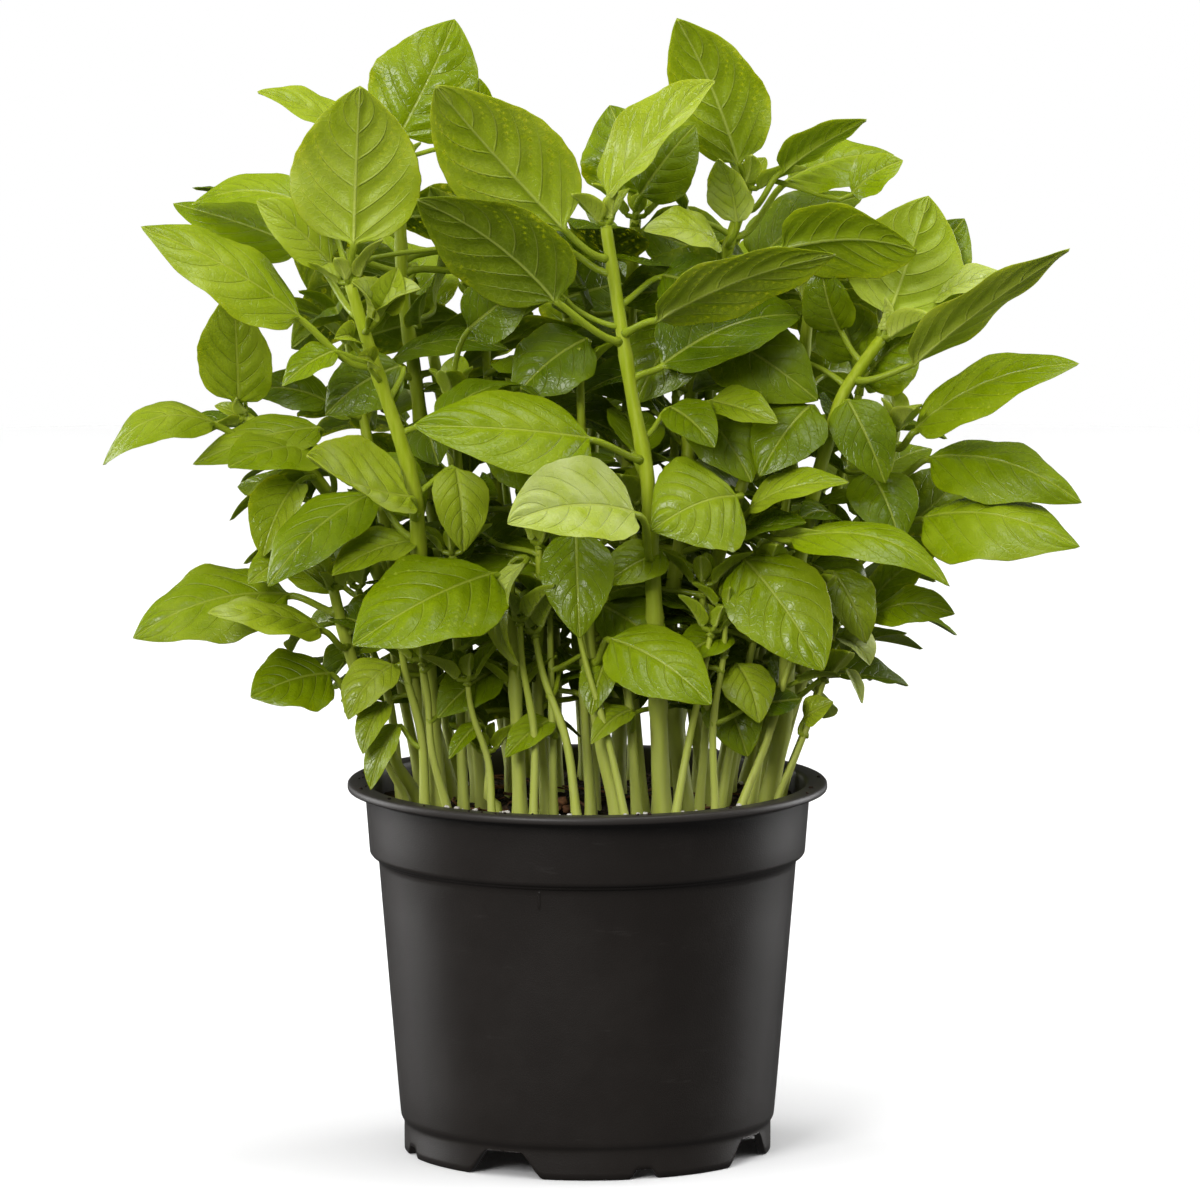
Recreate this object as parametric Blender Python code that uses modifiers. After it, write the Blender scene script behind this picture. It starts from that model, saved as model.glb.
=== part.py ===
"""Potted basil: a moulded nursery pot, its potting soil, and stems with their leaves.

Lengths in the constants are millimetres, +Z is up, the front of the plant faces -Y, and the
origin is where the pot's axis meets the surface that the pot stands on.
"""

import math
from dataclasses import dataclass

import bpy
from mathutils import Matrix, Vector

MM = 0.001
GAP = 0.3

# Pot
RIM_RADIUS = 65.0
RIM_TOP = 100.8
RIM_THICKNESS = 2.2
WALL = 1.1
BAND_TOP_RADIUS = 60.2
BAND_LOW_RADIUS = 59.0
BAND_LOW = 81.0
STEP_DROP = 1.6
BODY_TOP_RADIUS = 56.6
BODY_LOW_RADIUS = 50.6
BODY_LOW = 9.0
SKIRT_RADIUS = 49.8
SKIRT_WALL = 2.0
FLOOR_LOW = 6.8
FLOOR_TOP = 8.2
POT_STEPS = 72

# The skirt under the floor is cut into eight feet by shallow and deep notches in turn.
FEET = 8
FIRST_NOTCH = 18.0
SHALLOW_NOTCH = dict(depth=2.6, top=4.4, bottom=9.8)
DEEP_NOTCH = dict(depth=FLOOR_LOW, top=11.0, bottom=27.0)
DRAIN_HOLES = 8
DRAIN_RADIUS = 2.7
DRAIN_RING = 37.0

# Soil
SOIL_EDGE = 93.4
SOIL_CROWN = 95.2
SOIL_STEPS = 48
SOCKET_DEPTH = 14.0
SOCKET_CLEARANCE = 0.45

# Leaves
PETIOLE_RADIUS = 0.95
BLADE_THICKNESS = 0.55
MIDRIB_DEPTH = 0.55
PETIOLE_STATIONS = (0.0, 0.35, 0.7)
BLADE_STATIONS = (0.0, 0.07, 0.2, 0.36, 0.54, 0.72, 0.88)
OUTLINE_BASE = 0.55
OUTLINE_TIP = 0.85

POT_COLOUR = (0.035, 0.031, 0.028)
SOIL_COLOUR = (0.028, 0.017, 0.011)
STEM_COLOUR = (0.33, 0.42, 0.07)
LEAF_COLOUR = (0.16, 0.29, 0.012)


@dataclass
class Stem:
    """A stem's route from its foot in the soil to its head, with its radius at both ends."""

    name: str
    route: list
    foot: float = 2.4
    head: float = 1.6


@dataclass
class Leaf:
    """A leaf on a stem: node is the height that it leaves the stem at, or None at the stem's head.

    base and tip are the ends of the blade, up is the way that its upper side faces, bow lifts
    the middle of the blade, cup lifts its margins, as a share of the half width, and hook
    turns its tip down.
    """

    name: str
    stem: str
    node: float
    base: tuple
    tip: tuple
    width: float
    up: tuple
    bow: float = 3.0
    cup: float = -0.1
    hook: float = 0.0


STEMS = [
    Stem("stem_left_tall", [(-40, -25, 84), (-40, -25, 97), (-43, -30, 140), (-45, -35, 168),
                            (-46, -37, 184), (-50, -38, 199), (-57, -38, 220), (-63, -38, 240)], 2.6),
    Stem("stem_centre_tall", [(20, -30, 84), (20, -30, 97), (18, -35, 150), (17, -35, 170),
                              (16, -34, 188), (12, -31, 209), (9, -28, 228), (5, -24, 254)], 2.7),
    Stem("stem_right_tall", [(26, -18, 84), (26, -18, 97), (22, -14, 142), (25, -10, 166),
                             (27, -5, 186), (28, 0, 207), (32, 2, 228), (38, 3, 246), (43, 4, 261)], 2.6),
    Stem("stem_right_inner", [(33, -6, 84), (33, -6, 97), (29, -9, 122), (31, -10, 142), (35, -11, 162),
                              (42, -12, 184)]),
    Stem("stem_right_outer", [(49, -12, 84), (49, -12, 97), (53, -15, 120), (54, -15, 138),
                              (57, -14, 163), (63, -11, 189), (68, -7, 205), (73, -4, 213),
                              (79, -1, 221)], 2.6),
    Stem("stem_back_left_tall", [(-29, 4, 84), (-29, 4, 97), (-36, 11, 140), (-43, 16, 180),
                                 (-47, 18, 211), (-50, 20, 232), (-51, 22, 263)], 2.6),
    Stem("stem_back_right_tall", [(38, 16, 84), (38, 16, 97), (48, 19, 140), (55, 18, 185),
                                  (60, 14, 228)]),
    Stem("stem_left_low", [(-46, -14, 84), (-46, -14, 97), (-53, -17, 110), (-60, -20, 127),
                           (-65, -22, 143), (-68, -24, 156)], 2.1, 1.5),
    Stem("stem_left_leaning", [(-38, 12, 84), (-38, 12, 97), (-47, 13, 130), (-60, 10, 162),
                               (-78, 4, 188), (-92, -2, 200)]),
    Stem("stem_right_leaning", [(46, 4, 84), (46, 4, 97), (57, 8, 125), (68, 7, 155),
                                (78, 2, 176), (83, 0, 196)]),
    Stem("stem_back_centre", [(8, 12, 84), (8, 12, 97), (10, 15, 140), (11, 17, 190),
                              (12, 15, 235), (13, 13, 252)]),
    Stem("stem_back_left", [(-20, 28, 84), (-20, 28, 97), (-28, 34, 140), (-37, 42, 185), (-43, 47, 215)]),
    Stem("stem_back_right", [(22, 28, 84), (22, 28, 97), (30, 36, 140), (39, 44, 185), (45, 50, 222)]),
    Stem("stem_back_outer", [(0, 42, 84), (0, 42, 97), (-1, 48, 140), (1, 54, 180), (3, 58, 206)]),
    Stem("stem_front_centre", [(8, -40, 84), (8, -40, 97), (4, -39, 115), (1, -35, 140),
                               (-2, -31, 176)], 2.0, 1.4),
    Stem("stem_front_left", [(-18, -38, 84), (-18, -38, 97), (-19, -37, 125), (-21, -33, 162)], 2.1, 1.5),
]

LEAVES = [
    Leaf("leaf_high_left", "stem_left_tall", 219, (-76, -43, 232), (-118, -52, 257), 28,
         (0.1, -0.55, 0.82), 3, -0.15),
    Leaf("leaf_upright_left", "stem_left_tall", None, (-62, -41, 251), (-60, -48, 294), 35,
         (0, 1, 0.15), 3, 0.05),
    Leaf("leaf_left_back", "stem_left_tall", 232, (-76, -20, 248), (-111, -12, 259), 25,
         (0, -0.45, 0.88), 2),
    Leaf("leaf_left_cupped", "stem_left_tall", 178, (-47, -43, 184), (-74, -66, 198), 28,
         (0.25, -0.4, 0.88), -2, 0.35),
    Leaf("leaf_left_hanging", "stem_left_tall", 172, (-58, -30, 183), (-85, -46, 160), 24,
         (-0.45, -0.6, 0.65), 4),
    Leaf("leaf_top_left", "stem_back_left_tall", None, (-51, 20, 274), (-36, 28, 305), 31,
         (0, -0.9, 0.4), 2),
    Leaf("leaf_spear_left", "stem_back_left_tall", 256, (-62, 17, 274), (-89, 10, 287), 20,
         (0, -0.4, 0.9), 2, 0.06),
    Leaf("leaf_high_centre", "stem_centre_tall", 246, (-6, -28, 254), (-40, -46, 294), 33,
         (-0.15, 0.85, 0.5), 3, 0.06),
    Leaf("leaf_top_centre", "stem_centre_tall", None, (5, -25, 262), (34, -34, 294), 24,
         (-0.6, -0.5, 0.6), 1, 0.35),
    Leaf("leaf_centre_dark", "stem_centre_tall", 224, (-8, -38, 236), (-45, -58, 265), 33,
         (0, 0.75, 0.65), 3),
    Leaf("leaf_mid_right", "stem_centre_tall", 226, (18, -37, 231), (66, -46, 249), 30,
         (-0.25, 0.6, 0.75), 3),
    Leaf("leaf_front_left", "stem_centre_tall", 193, (1, -46, 200), (-46, -68, 206), 31,
         (0, -0.68, 0.73), 4),
    Leaf("leaf_front_pale", "stem_centre_tall", 166, (13, -54, 184), (-21, -78, 184), 27,
         (0, -0.55, 0.83), 3, 0.2),
    Leaf("leaf_top_right", "stem_right_tall", None, (41, 4, 268), (24, -3, 308), 27,
         (0.2, 0.9, 0.25), 3, 0.06),
    Leaf("leaf_high_right", "stem_right_tall", 243, (52, -8, 247), (88, -28, 248), 31,
         (0.05, 0.75, 0.65), 5),
    Leaf("leaf_top_far_right", "stem_right_tall", 256, (52, 0, 267), (75, -5, 281), 20,
         (-0.35, 0.5, 0.8), 1, 0.1),
    Leaf("leaf_top_back_right", "stem_right_tall", 249, (54, 12, 263), (83, 18, 269), 24,
         (0, -0.5, 0.86), 3),
    Leaf("leaf_front_bumpy", "stem_right_inner", 179, (40, -34, 183), (17, -46, 175), 32,
         (-0.1, -0.85, 0.5), 4, -0.15),
    Leaf("leaf_front_right", "stem_right_inner", 152, (42, -26, 165), (63, -44, 137), 28,
         (0.1, -0.85, 0.5), 3),
    Leaf("leaf_droop_right", "stem_right_inner", 172, (54, -30, 171), (97, -42, 163), 21,
         (0, -0.35, 0.93), 6, -0.2, 4),
    Leaf("leaf_round_right", "stem_right_outer", None, (81, 0, 227), (92, 8, 259), 33,
         (0.1, 0.9, 0.35), 2),
    Leaf("leaf_spear_right", "stem_right_outer", 211, (87, -10, 216), (129, -22, 248), 23,
         (-0.45, 0.6, 0.66), 1, 0.1),
    Leaf("leaf_upper_far_right", "stem_right_leaning", 192, (88, -4, 197), (132, -14, 216), 28,
         (-0.2, -0.45, 0.87), 5),
    Leaf("leaf_middle_far_right", "stem_right_leaning", 183, (92, 0, 189), (133, -12, 178), 29,
         (0, -0.5, 0.87), 6, -0.3),
    Leaf("leaf_low_far_right", "stem_right_leaning", 171, (90, -10, 174), (132, -26, 168), 34,
         (0, -0.5, 0.87), 6, -0.3),
    Leaf("leaf_low_right", "stem_right_leaning", 138, (77, -6, 147), (99, -13, 148), 17,
         (0, -0.5, 0.86), 4),
    Leaf("leaf_front_low", "stem_front_centre", 138, (6, -44, 146), (33, -58, 130), 26,
         (0.2, -0.7, 0.7), 3, -0.15),
    Leaf("leaf_centre_hanging", "stem_front_centre", 170, (-3, -40, 174), (-2, -52, 147), 20,
         (0, -0.95, 0.3), 3),
    Leaf("leaf_front_large", "stem_front_left", 152, (-25, -47, 164), (-62, -72, 148), 35,
         (-0.1, -0.65, 0.75), 4),
    Leaf("leaf_low_left", "stem_left_low", 150, (-80, -16, 154), (-122, -24, 143), 30,
         (-0.15, -0.6, 0.78), 6, -0.15),
    Leaf("leaf_low_left_front", "stem_left_low", 141, (-71, -32, 147), (-101, -46, 153), 22,
         (0, -0.35, 0.93), 2),
    Leaf("leaf_low_left_hanging", "stem_left_low", 126, (-69, -26, 134), (-90, -38, 129), 23,
         (-0.2, -0.75, 0.6), 2),
    Leaf("leaf_left_standing", "stem_left_leaning", None, (-94, -4, 204), (-95, -14, 236), 22,
         (-0.25, -0.85, 0.4), 1, 0.15),
    Leaf("leaf_far_left", "stem_left_leaning", 190, (-100, -12, 200), (-130, -18, 189), 23,
         (0, -0.35, 0.93), 8, -0.15),
    Leaf("leaf_mid_left", "stem_left_leaning", 178, (-74, -10, 193), (-96, -30, 190), 25,
         (-0.2, -0.6, 0.77), 3),
    Leaf("leaf_back_round", "stem_back_centre", None, (14, 15, 259), (6, 24, 282), 27,
         (0, -0.9, 0.4), 3, -0.2),
    Leaf("leaf_back_left_upper", "stem_back_left", None, (-45, 52, 222), (-58, 78, 242), 32,
         (0.2, -0.5, 0.85), 3),
    Leaf("leaf_back_left_lower", "stem_back_left", 180, (-48, 52, 190), (-80, 70, 184), 30,
         (0, 0.3, 0.95), 5),
    Leaf("leaf_back_right_upper", "stem_back_right", None, (48, 56, 229), (66, 78, 246), 31,
         (-0.3, -0.5, 0.8), 3),
    Leaf("leaf_back_right_lower", "stem_back_right", 182, (52, 54, 190), (86, 68, 182), 30,
         (0, 0.3, 0.95), 5),
    Leaf("leaf_back_top", "stem_back_outer", None, (3, 62, 213), (0, 78, 240), 30,
         (0, -0.7, 0.7), 3),
    Leaf("leaf_back_low", "stem_back_outer", 168, (-2, 62, 176), (-8, 80, 150), 28,
         (0, 0.75, 0.65), 4),
]


def material(name, colour, roughness):
    """A plain Principled material in the part's own colour."""
    made = bpy.data.materials.new(name)
    made.use_nodes = True
    shader = made.node_tree.nodes["Principled BSDF"]
    shader.inputs["Base Color"].default_value = (*colour, 1.0)
    shader.inputs["Roughness"].default_value = roughness
    shader.inputs["Metallic"].default_value = 0.0
    made.diffuse_color = (*colour, 1.0)
    return made


def add_object(name, data, collection):
    """An object of this data, linked to the collection."""
    made = bpy.data.objects.new(name, data)
    collection.objects.link(made)
    return made


def add_mesh(name, vertices, faces, collection):
    """A mesh object from points in millimetres."""
    mesh = bpy.data.meshes.new(name)
    mesh.from_pydata([Vector(v) * MM for v in vertices], [], faces)
    mesh.update()
    return add_object(name, mesh, collection)


def finish(made, colour, roughness):
    """Gives the object its own material."""
    made.data.materials.append(material(made.name, colour, roughness))


def helper(made):
    """Marks a cutter, which the model leaves out."""
    made.hide_render = True
    made.display_type = "WIRE"
    return made


def cut(target, cutter):
    """Takes the cutter's shape out of the target."""
    boolean = target.modifiers.new(cutter.name, "BOOLEAN")
    boolean.operation = "DIFFERENCE"
    boolean.solver = "EXACT"
    boolean.object = cutter


def turned(name, profile, steps, collection):
    """A profile of (radius, height) points carried once round Z by a Screw modifier."""
    edges = [(i, i + 1) for i in range(len(profile) - 1)]
    mesh = bpy.data.meshes.new(name)
    mesh.from_pydata([Vector((r, 0.0, z)) * MM for r, z in profile], edges, [])
    made = add_object(name, mesh, collection)
    screw = made.modifiers.new("turn", "SCREW")
    screw.steps = screw.render_steps = steps
    screw.use_merge_vertices = True
    screw.merge_threshold = 0.00002
    return made


def wall_radius(height):
    """The outer radius of the pot's tapering body, or of the band above its step."""
    if height > BAND_LOW:
        share = (height - BAND_LOW) / (RIM_TOP - RIM_THICKNESS - BAND_LOW)
        return BAND_LOW_RADIUS + share * (BAND_TOP_RADIUS - BAND_LOW_RADIUS)
    share = (height - BODY_LOW) / (BAND_LOW - STEP_DROP - BODY_LOW)
    return BODY_LOW_RADIUS + share * (BODY_TOP_RADIUS - BODY_LOW_RADIUS)


def pot_profile():
    """The pot's section: from the middle of the floor up the inside, over the rim and down the outside."""
    rim_low = RIM_TOP - RIM_THICKNESS
    step_low = BAND_LOW - STEP_DROP
    inside = [
        (0.0, FLOOR_TOP),
        (BODY_LOW_RADIUS - WALL - 1.0, FLOOR_TOP),
        (BODY_LOW_RADIUS - WALL, FLOOR_TOP + 1.0),
        (BODY_TOP_RADIUS - WALL, step_low - 0.6),
        (wall_radius(BAND_LOW + 0.01) - WALL, BAND_LOW - 0.6),
        (BAND_TOP_RADIUS - WALL, RIM_TOP - 0.9),
        (BAND_TOP_RADIUS - WALL + 0.7, RIM_TOP),
    ]
    rim = [
        (RIM_RADIUS - 0.7, RIM_TOP),
        (RIM_RADIUS, RIM_TOP - 0.6),
        (RIM_RADIUS, rim_low + 0.4),
        (RIM_RADIUS - 0.5, rim_low),
        (BAND_TOP_RADIUS + 0.8, rim_low),
        (BAND_TOP_RADIUS, rim_low - 0.8),
    ]
    outside = [
        (BAND_LOW_RADIUS, BAND_LOW + 0.5),
        (BAND_LOW_RADIUS - 0.6, BAND_LOW),
        (BODY_TOP_RADIUS, step_low),
        (BODY_LOW_RADIUS, BODY_LOW),
        (SKIRT_RADIUS, FLOOR_LOW + 0.6),
        (SKIRT_RADIUS, 0.0),
        (SKIRT_RADIUS - SKIRT_WALL, 0.0),
        (SKIRT_RADIUS - SKIRT_WALL, FLOOR_LOW),
        (0.0, FLOOR_LOW),
    ]
    return inside + rim + outside


def notch(name, angle, shape, collection):
    """A cutter for one notch in the skirt: a tapering bar along a radius, wider at the bottom."""
    near, far = SKIRT_RADIUS - SKIRT_WALL - 2.0, SKIRT_RADIUS + 3.0
    below = 2.0
    slope = (shape["bottom"] - shape["top"]) / shape["depth"]
    low_half = (shape["bottom"] + slope * below) / 2 * math.radians(1) * SKIRT_RADIUS
    high_half = shape["top"] / 2 * math.radians(1) * SKIRT_RADIUS
    corners = [(r, side * half, z) for r in (near, far) for z, half in ((-below, low_half),
               (shape["depth"], high_half)) for side in (-1, 1)]
    faces = [(0, 2, 3, 1), (4, 5, 7, 6), (0, 1, 5, 4), (2, 6, 7, 3), (0, 4, 6, 2), (1, 3, 7, 5)]
    made = helper(add_mesh(name, corners, faces, collection))
    turn = Matrix.Rotation(math.radians(angle - 90.0), 4, "Z")
    made.data.transform(turn)
    return made


def drain(name, angle, collection):
    """A cutter for one round hole in the floor."""
    bpy.ops.mesh.primitive_cylinder_add(vertices=12, radius=DRAIN_RADIUS * MM, depth=8 * MM)
    made = bpy.context.object
    made.name = name
    for other in made.users_collection:
        other.objects.unlink(made)
    collection.objects.link(made)
    x, y = DRAIN_RING * math.cos(angle), DRAIN_RING * math.sin(angle)
    made.location = Vector((x, y, (FLOOR_LOW + FLOOR_TOP) / 2)) * MM
    return helper(made)


def build_pot(parts, cutters):
    """The pot: rim, band, step, tapering wall, drained floor, and the notched skirt that makes its feet."""
    pot = turned("pot", pot_profile(), POT_STEPS, parts)
    for place in range(FEET):
        angle = FIRST_NOTCH + place * 360.0 / FEET
        cut(pot, notch(f"notch_{place}", angle, (SHALLOW_NOTCH, DEEP_NOTCH)[place % 2], cutters))
    for hole in range(DRAIN_HOLES):
        angle = 2 * math.pi * (hole + 0.5) / DRAIN_HOLES
        cut(pot, drain(f"drain_{hole}", angle, cutters))
    finish(pot, POT_COLOUR, 0.45)


def soil_height(radius):
    """The soil's surface: a low crown that falls towards the wall."""
    edge = wall_radius(SOIL_EDGE) - WALL - GAP
    return SOIL_CROWN - (SOIL_CROWN - SOIL_EDGE) * (radius / edge) ** 2


def build_soil(parts, cutters):
    """The soil: it fills the pot with a small gap to the wall, and has a socket for each stem's foot."""
    low = FLOOR_TOP + GAP
    edge = wall_radius(SOIL_EDGE) - WALL - GAP
    step_low = BAND_LOW - STEP_DROP
    tops = [(edge * share, soil_height(edge * share)) for share in (0.0, 0.35, 0.7, 1.0)]
    sides = [
        (wall_radius(BAND_LOW + 0.01) - WALL - GAP, BAND_LOW),
        (BODY_TOP_RADIUS - WALL - GAP, step_low - 0.2),
        (BODY_LOW_RADIUS - WALL - GAP, low + 1.0),
        (BODY_LOW_RADIUS - WALL - GAP - 1.0, low),
        (0.0, low),
    ]
    soil = turned("potting_soil", tops + sides, SOIL_STEPS, parts)
    for stem in STEMS:
        bpy.ops.mesh.primitive_cylinder_add(
            vertices=10, radius=(stem.foot + SOCKET_CLEARANCE) * MM, depth=2 * SOCKET_DEPTH * MM
        )
        socket = bpy.context.object
        socket.name = stem.name.replace("stem", "socket")
        for other in socket.users_collection:
            other.objects.unlink(socket)
        cutters.objects.link(socket)
        x, y, _ = stem.route[0]
        socket.location = Vector((x, y, SOIL_CROWN)) * MM
        cut(soil, helper(socket))
    finish(soil, SOIL_COLOUR, 0.95)


def smooth_route(points, spacing=13.0):
    """Points about this far apart on a Catmull-Rom curve through the route's own points."""
    points = [Vector(p) for p in points]
    ends = [2 * points[0] - points[1], *points, 2 * points[-1] - points[-2]]
    found = []
    for a, b, c, d in zip(ends, ends[1:], ends[2:], ends[3:]):
        pieces = max(1, round((c - b).length / spacing))
        for step in range(pieces):
            t = step / pieces
            found.append(
                0.5 * (2 * b + (c - a) * t + (2 * a - 5 * b + 4 * c - d) * t**2
                       + (3 * b - a - 3 * c + d) * t**3)
            )
    return [*found, points[-1]]


def stem_stations(stem):
    """(point, radius) pairs along a stem, which thins towards its head."""
    points = smooth_route(stem.route)
    last = len(points) - 1
    return [(p, stem.foot + (stem.head - stem.foot) * i / last) for i, p in enumerate(points)]


def build_stem(stem, parts):
    """A stem is a bevelled curve, thinner at each point towards its head."""
    curve = bpy.data.curves.new(stem.name, "CURVE")
    curve.dimensions = "3D"
    curve.bevel_depth = MM
    curve.bevel_resolution = 2
    curve.use_fill_caps = True
    spline = curve.splines.new("POLY")
    stations = stem_stations(stem)
    spline.points.add(len(stations) - 1)
    for point, (place, radius) in zip(spline.points, stations):
        point.co = (*(place * MM), 1.0)
        point.radius = radius
    made = add_object(stem.name, curve, parts)
    finish(made, STEM_COLOUR, 0.45)


def stem_at(stem, height):
    """The stem's axis point, radius and direction at a height."""
    stations = stem_stations(stem)
    for (low, r0), (high, r1) in zip(stations, stations[1:]):
        if low.z <= height <= high.z:
            share = (height - low.z) / (high.z - low.z)
            return low.lerp(high, share), r0 + (r1 - r0) * share, (high - low).normalized()
    raise ValueError(f"{stem.name} doesn't reach {height}")


def petiole_root(leaf, stem):
    """Where the stalk starts, a small gap off the stem, and the way that it sets out."""
    if leaf.node is None:
        (before, _), (head, _) = stem_stations(stem)[-2:]
        out = (head - before).normalized()
        return head + out * 2 * GAP, out
    axis, radius, way = stem_at(stem, leaf.node)
    out = Vector(leaf.base) - axis
    out = (out - way * out.dot(way)).normalized()
    return axis + out * (radius + 2 * GAP), out


def half_width(leaf, along):
    """A blade's half width: a power of the way from the base times a power of the way to the tip."""
    widest = OUTLINE_BASE / (OUTLINE_BASE + OUTLINE_TIP)
    peak = widest**OUTLINE_BASE * (1 - widest) ** OUTLINE_TIP
    return leaf.width / 2 * along**OUTLINE_BASE * (1 - along) ** OUTLINE_TIP / peak


def midrib(leaf, along, normal):
    """A point of the blade's middle line: the chord, arched by bow, with its tip turned down by hook."""
    base, tip = Vector(leaf.base), Vector(leaf.tip)
    hook = leaf.hook * max(0.0, (along - 0.6) / 0.4) ** 2
    return base.lerp(tip, along) + normal * (leaf.bow * 4 * along * (1 - along) - hook)


def blade_ring(leaf, along, side, normal):
    """Nine points round the blade: margin, three above, margin, four below."""
    half = max(half_width(leaf, along), PETIOLE_RADIUS)
    thick = max(BLADE_THICKNESS, 1.5 * PETIOLE_RADIUS * (1 - along / 0.2))
    rib = max(BLADE_THICKNESS + MIDRIB_DEPTH * (1 - along), thick)
    middle = midrib(leaf, along, normal)

    def place(across, below):
        lift = leaf.cup * half * abs(across) ** 1.4
        return middle + side * (across * half) + normal * (lift - below)

    above = [place(across, 0.0) for across in (-0.5, 0.0, 0.5)]
    under = [place(0.5, thick), place(0.12, rib), place(-0.12, rib), place(-0.5, thick)]
    return [place(-1.0, thick / 2), *above, place(1.0, thick / 2), *under]


def stalk_ring(centre, side, normal):
    """Nine points round the stalk, in the same order as the blade's."""
    angles = [180, 135, 90, 45, 0, -36, -72, -108, -144]
    return [
        centre + PETIOLE_RADIUS * (side * math.cos(math.radians(a)) + normal * math.sin(math.radians(a)))
        for a in angles
    ]


def hermite(start, start_way, end, end_way, along):
    """The point and direction at this share of a cubic that leaves and arrives the given ways."""
    a, t = along, along
    point = (
        start * (2 * t**3 - 3 * t**2 + 1)
        + start_way * (t**3 - 2 * t**2 + t)
        + end * (3 * t**2 - 2 * t**3)
        + end_way * (t**3 - t**2)
    )
    way = (
        start * (6 * a**2 - 6 * a)
        + start_way * (3 * a**2 - 4 * a + 1)
        + end * (6 * a - 6 * a**2)
        + end_way * (3 * a**2 - 2 * a)
    )
    return point, way.normalized()


def leaf_rings(leaf):
    """The leaf's rings from the stalk's root to near the tip, with the two end points."""
    stem = next(s for s in STEMS if s.name == leaf.stem)
    base, tip = Vector(leaf.base), Vector(leaf.tip)
    chord = (tip - base).normalized()
    side = chord.cross(Vector(leaf.up)).normalized()
    normal = side.cross(chord).normalized()
    root, out = petiole_root(leaf, stem)
    reach = (base - root).length
    start_way = (out if leaf.node is None else (out + Vector((0, 0, 0.35))).normalized()) * reach
    base_way = (midrib(leaf, 0.05, normal) - base).normalized() * reach * 0.8

    blade = [blade_ring(leaf, along, side, normal) for along in BLADE_STATIONS]
    stalk = []
    heading, frame_side = chord, side
    for along in reversed(PETIOLE_STATIONS):
        centre, way = hermite(root, start_way, base, base_way, along)
        frame_side = heading.rotation_difference(way) @ frame_side
        heading = way
        stalk.insert(0, stalk_ring(centre, frame_side, frame_side.cross(way)))
    start = root - start_way.normalized() * 0.15
    return start, [*stalk, *blade], tip - normal * (leaf.hook + BLADE_THICKNESS / 2)


def build_leaf(leaf, parts):
    """A leaf is a loft through its rings, closed by a fan at each end."""
    start, rings, tip = leaf_rings(leaf)
    count = len(rings[0])
    vertices = [start, *(point for ring in rings for point in ring), tip]
    faces = []
    for ring in range(len(rings) - 1):
        for i in range(count):
            a = 1 + ring * count + i
            b = 1 + ring * count + (i + 1) % count
            faces += [(a, b, b + count), (a, b + count, a + count)]
    last = 1 + (len(rings) - 1) * count
    for i in range(count):
        after = (i + 1) % count
        faces += [(0, 1 + after, 1 + i), (len(vertices) - 1, last + i, last + after)]
    made = add_mesh(leaf.name, vertices, faces, parts)
    made.data.shade_smooth()
    finish(made, LEAF_COLOUR, 0.4)


def main():
    for old in list(bpy.data.objects):
        bpy.data.objects.remove(old, do_unlink=True)
    parts = bpy.data.collections.new("potted_basil")
    cutters = bpy.data.collections.new("cutters")
    for made in (parts, cutters):
        bpy.context.scene.collection.children.link(made)
    build_pot(parts, cutters)
    build_soil(parts, cutters)
    for stem in STEMS:
        build_stem(stem, parts)
    for leaf in LEAVES:
        build_leaf(leaf, parts)


if __name__ == "__main__":
    main()
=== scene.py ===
"""Potted basil: the looks of the plant, its pot and its soil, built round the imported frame.

+Z is up, the front of the plant faces -Y, and the origin is where the pot's axis meets the surface
that the pot stands on. Names that end in _mm and the rows of the leaf and stem plans are in
millimetres; every mesh is in metres.
"""

import itertools
import math
from dataclasses import dataclass

import bpy
import numpy as np
from bpy.props import FloatProperty, FloatVectorProperty, IntProperty, PointerProperty
from mathutils.bvhtree import BVHTree
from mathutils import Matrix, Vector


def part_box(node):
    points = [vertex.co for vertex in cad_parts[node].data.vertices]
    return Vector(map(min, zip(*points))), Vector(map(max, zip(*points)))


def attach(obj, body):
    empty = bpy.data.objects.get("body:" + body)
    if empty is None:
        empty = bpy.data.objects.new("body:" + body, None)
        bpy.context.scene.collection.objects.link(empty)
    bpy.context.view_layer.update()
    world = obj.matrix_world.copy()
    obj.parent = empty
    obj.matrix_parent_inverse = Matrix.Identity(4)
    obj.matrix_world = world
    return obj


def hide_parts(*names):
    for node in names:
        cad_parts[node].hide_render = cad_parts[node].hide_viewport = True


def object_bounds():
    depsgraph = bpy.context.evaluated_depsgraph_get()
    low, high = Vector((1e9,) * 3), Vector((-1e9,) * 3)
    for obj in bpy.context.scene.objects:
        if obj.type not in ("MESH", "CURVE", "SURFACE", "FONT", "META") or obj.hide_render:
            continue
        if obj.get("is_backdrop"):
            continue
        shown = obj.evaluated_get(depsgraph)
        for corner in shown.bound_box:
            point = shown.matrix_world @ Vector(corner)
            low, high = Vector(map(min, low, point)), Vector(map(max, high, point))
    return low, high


bl_info = {
    "name": "Potted basil",
    "version": (1, 0, 0),
    "blender": (4, 5, 0),
    "location": "View3D > Sidebar > Basil",
    "description": "Builds a potted basil plant round its packed frame",
    "category": "Add Mesh",
}

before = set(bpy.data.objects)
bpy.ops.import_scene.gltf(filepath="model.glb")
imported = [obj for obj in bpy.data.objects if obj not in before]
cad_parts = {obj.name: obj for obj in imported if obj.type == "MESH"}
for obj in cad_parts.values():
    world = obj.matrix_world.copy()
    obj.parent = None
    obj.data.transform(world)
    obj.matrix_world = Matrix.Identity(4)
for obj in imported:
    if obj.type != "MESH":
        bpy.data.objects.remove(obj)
CAD_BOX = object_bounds()

MM = 0.001
BODY = "root"

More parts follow.
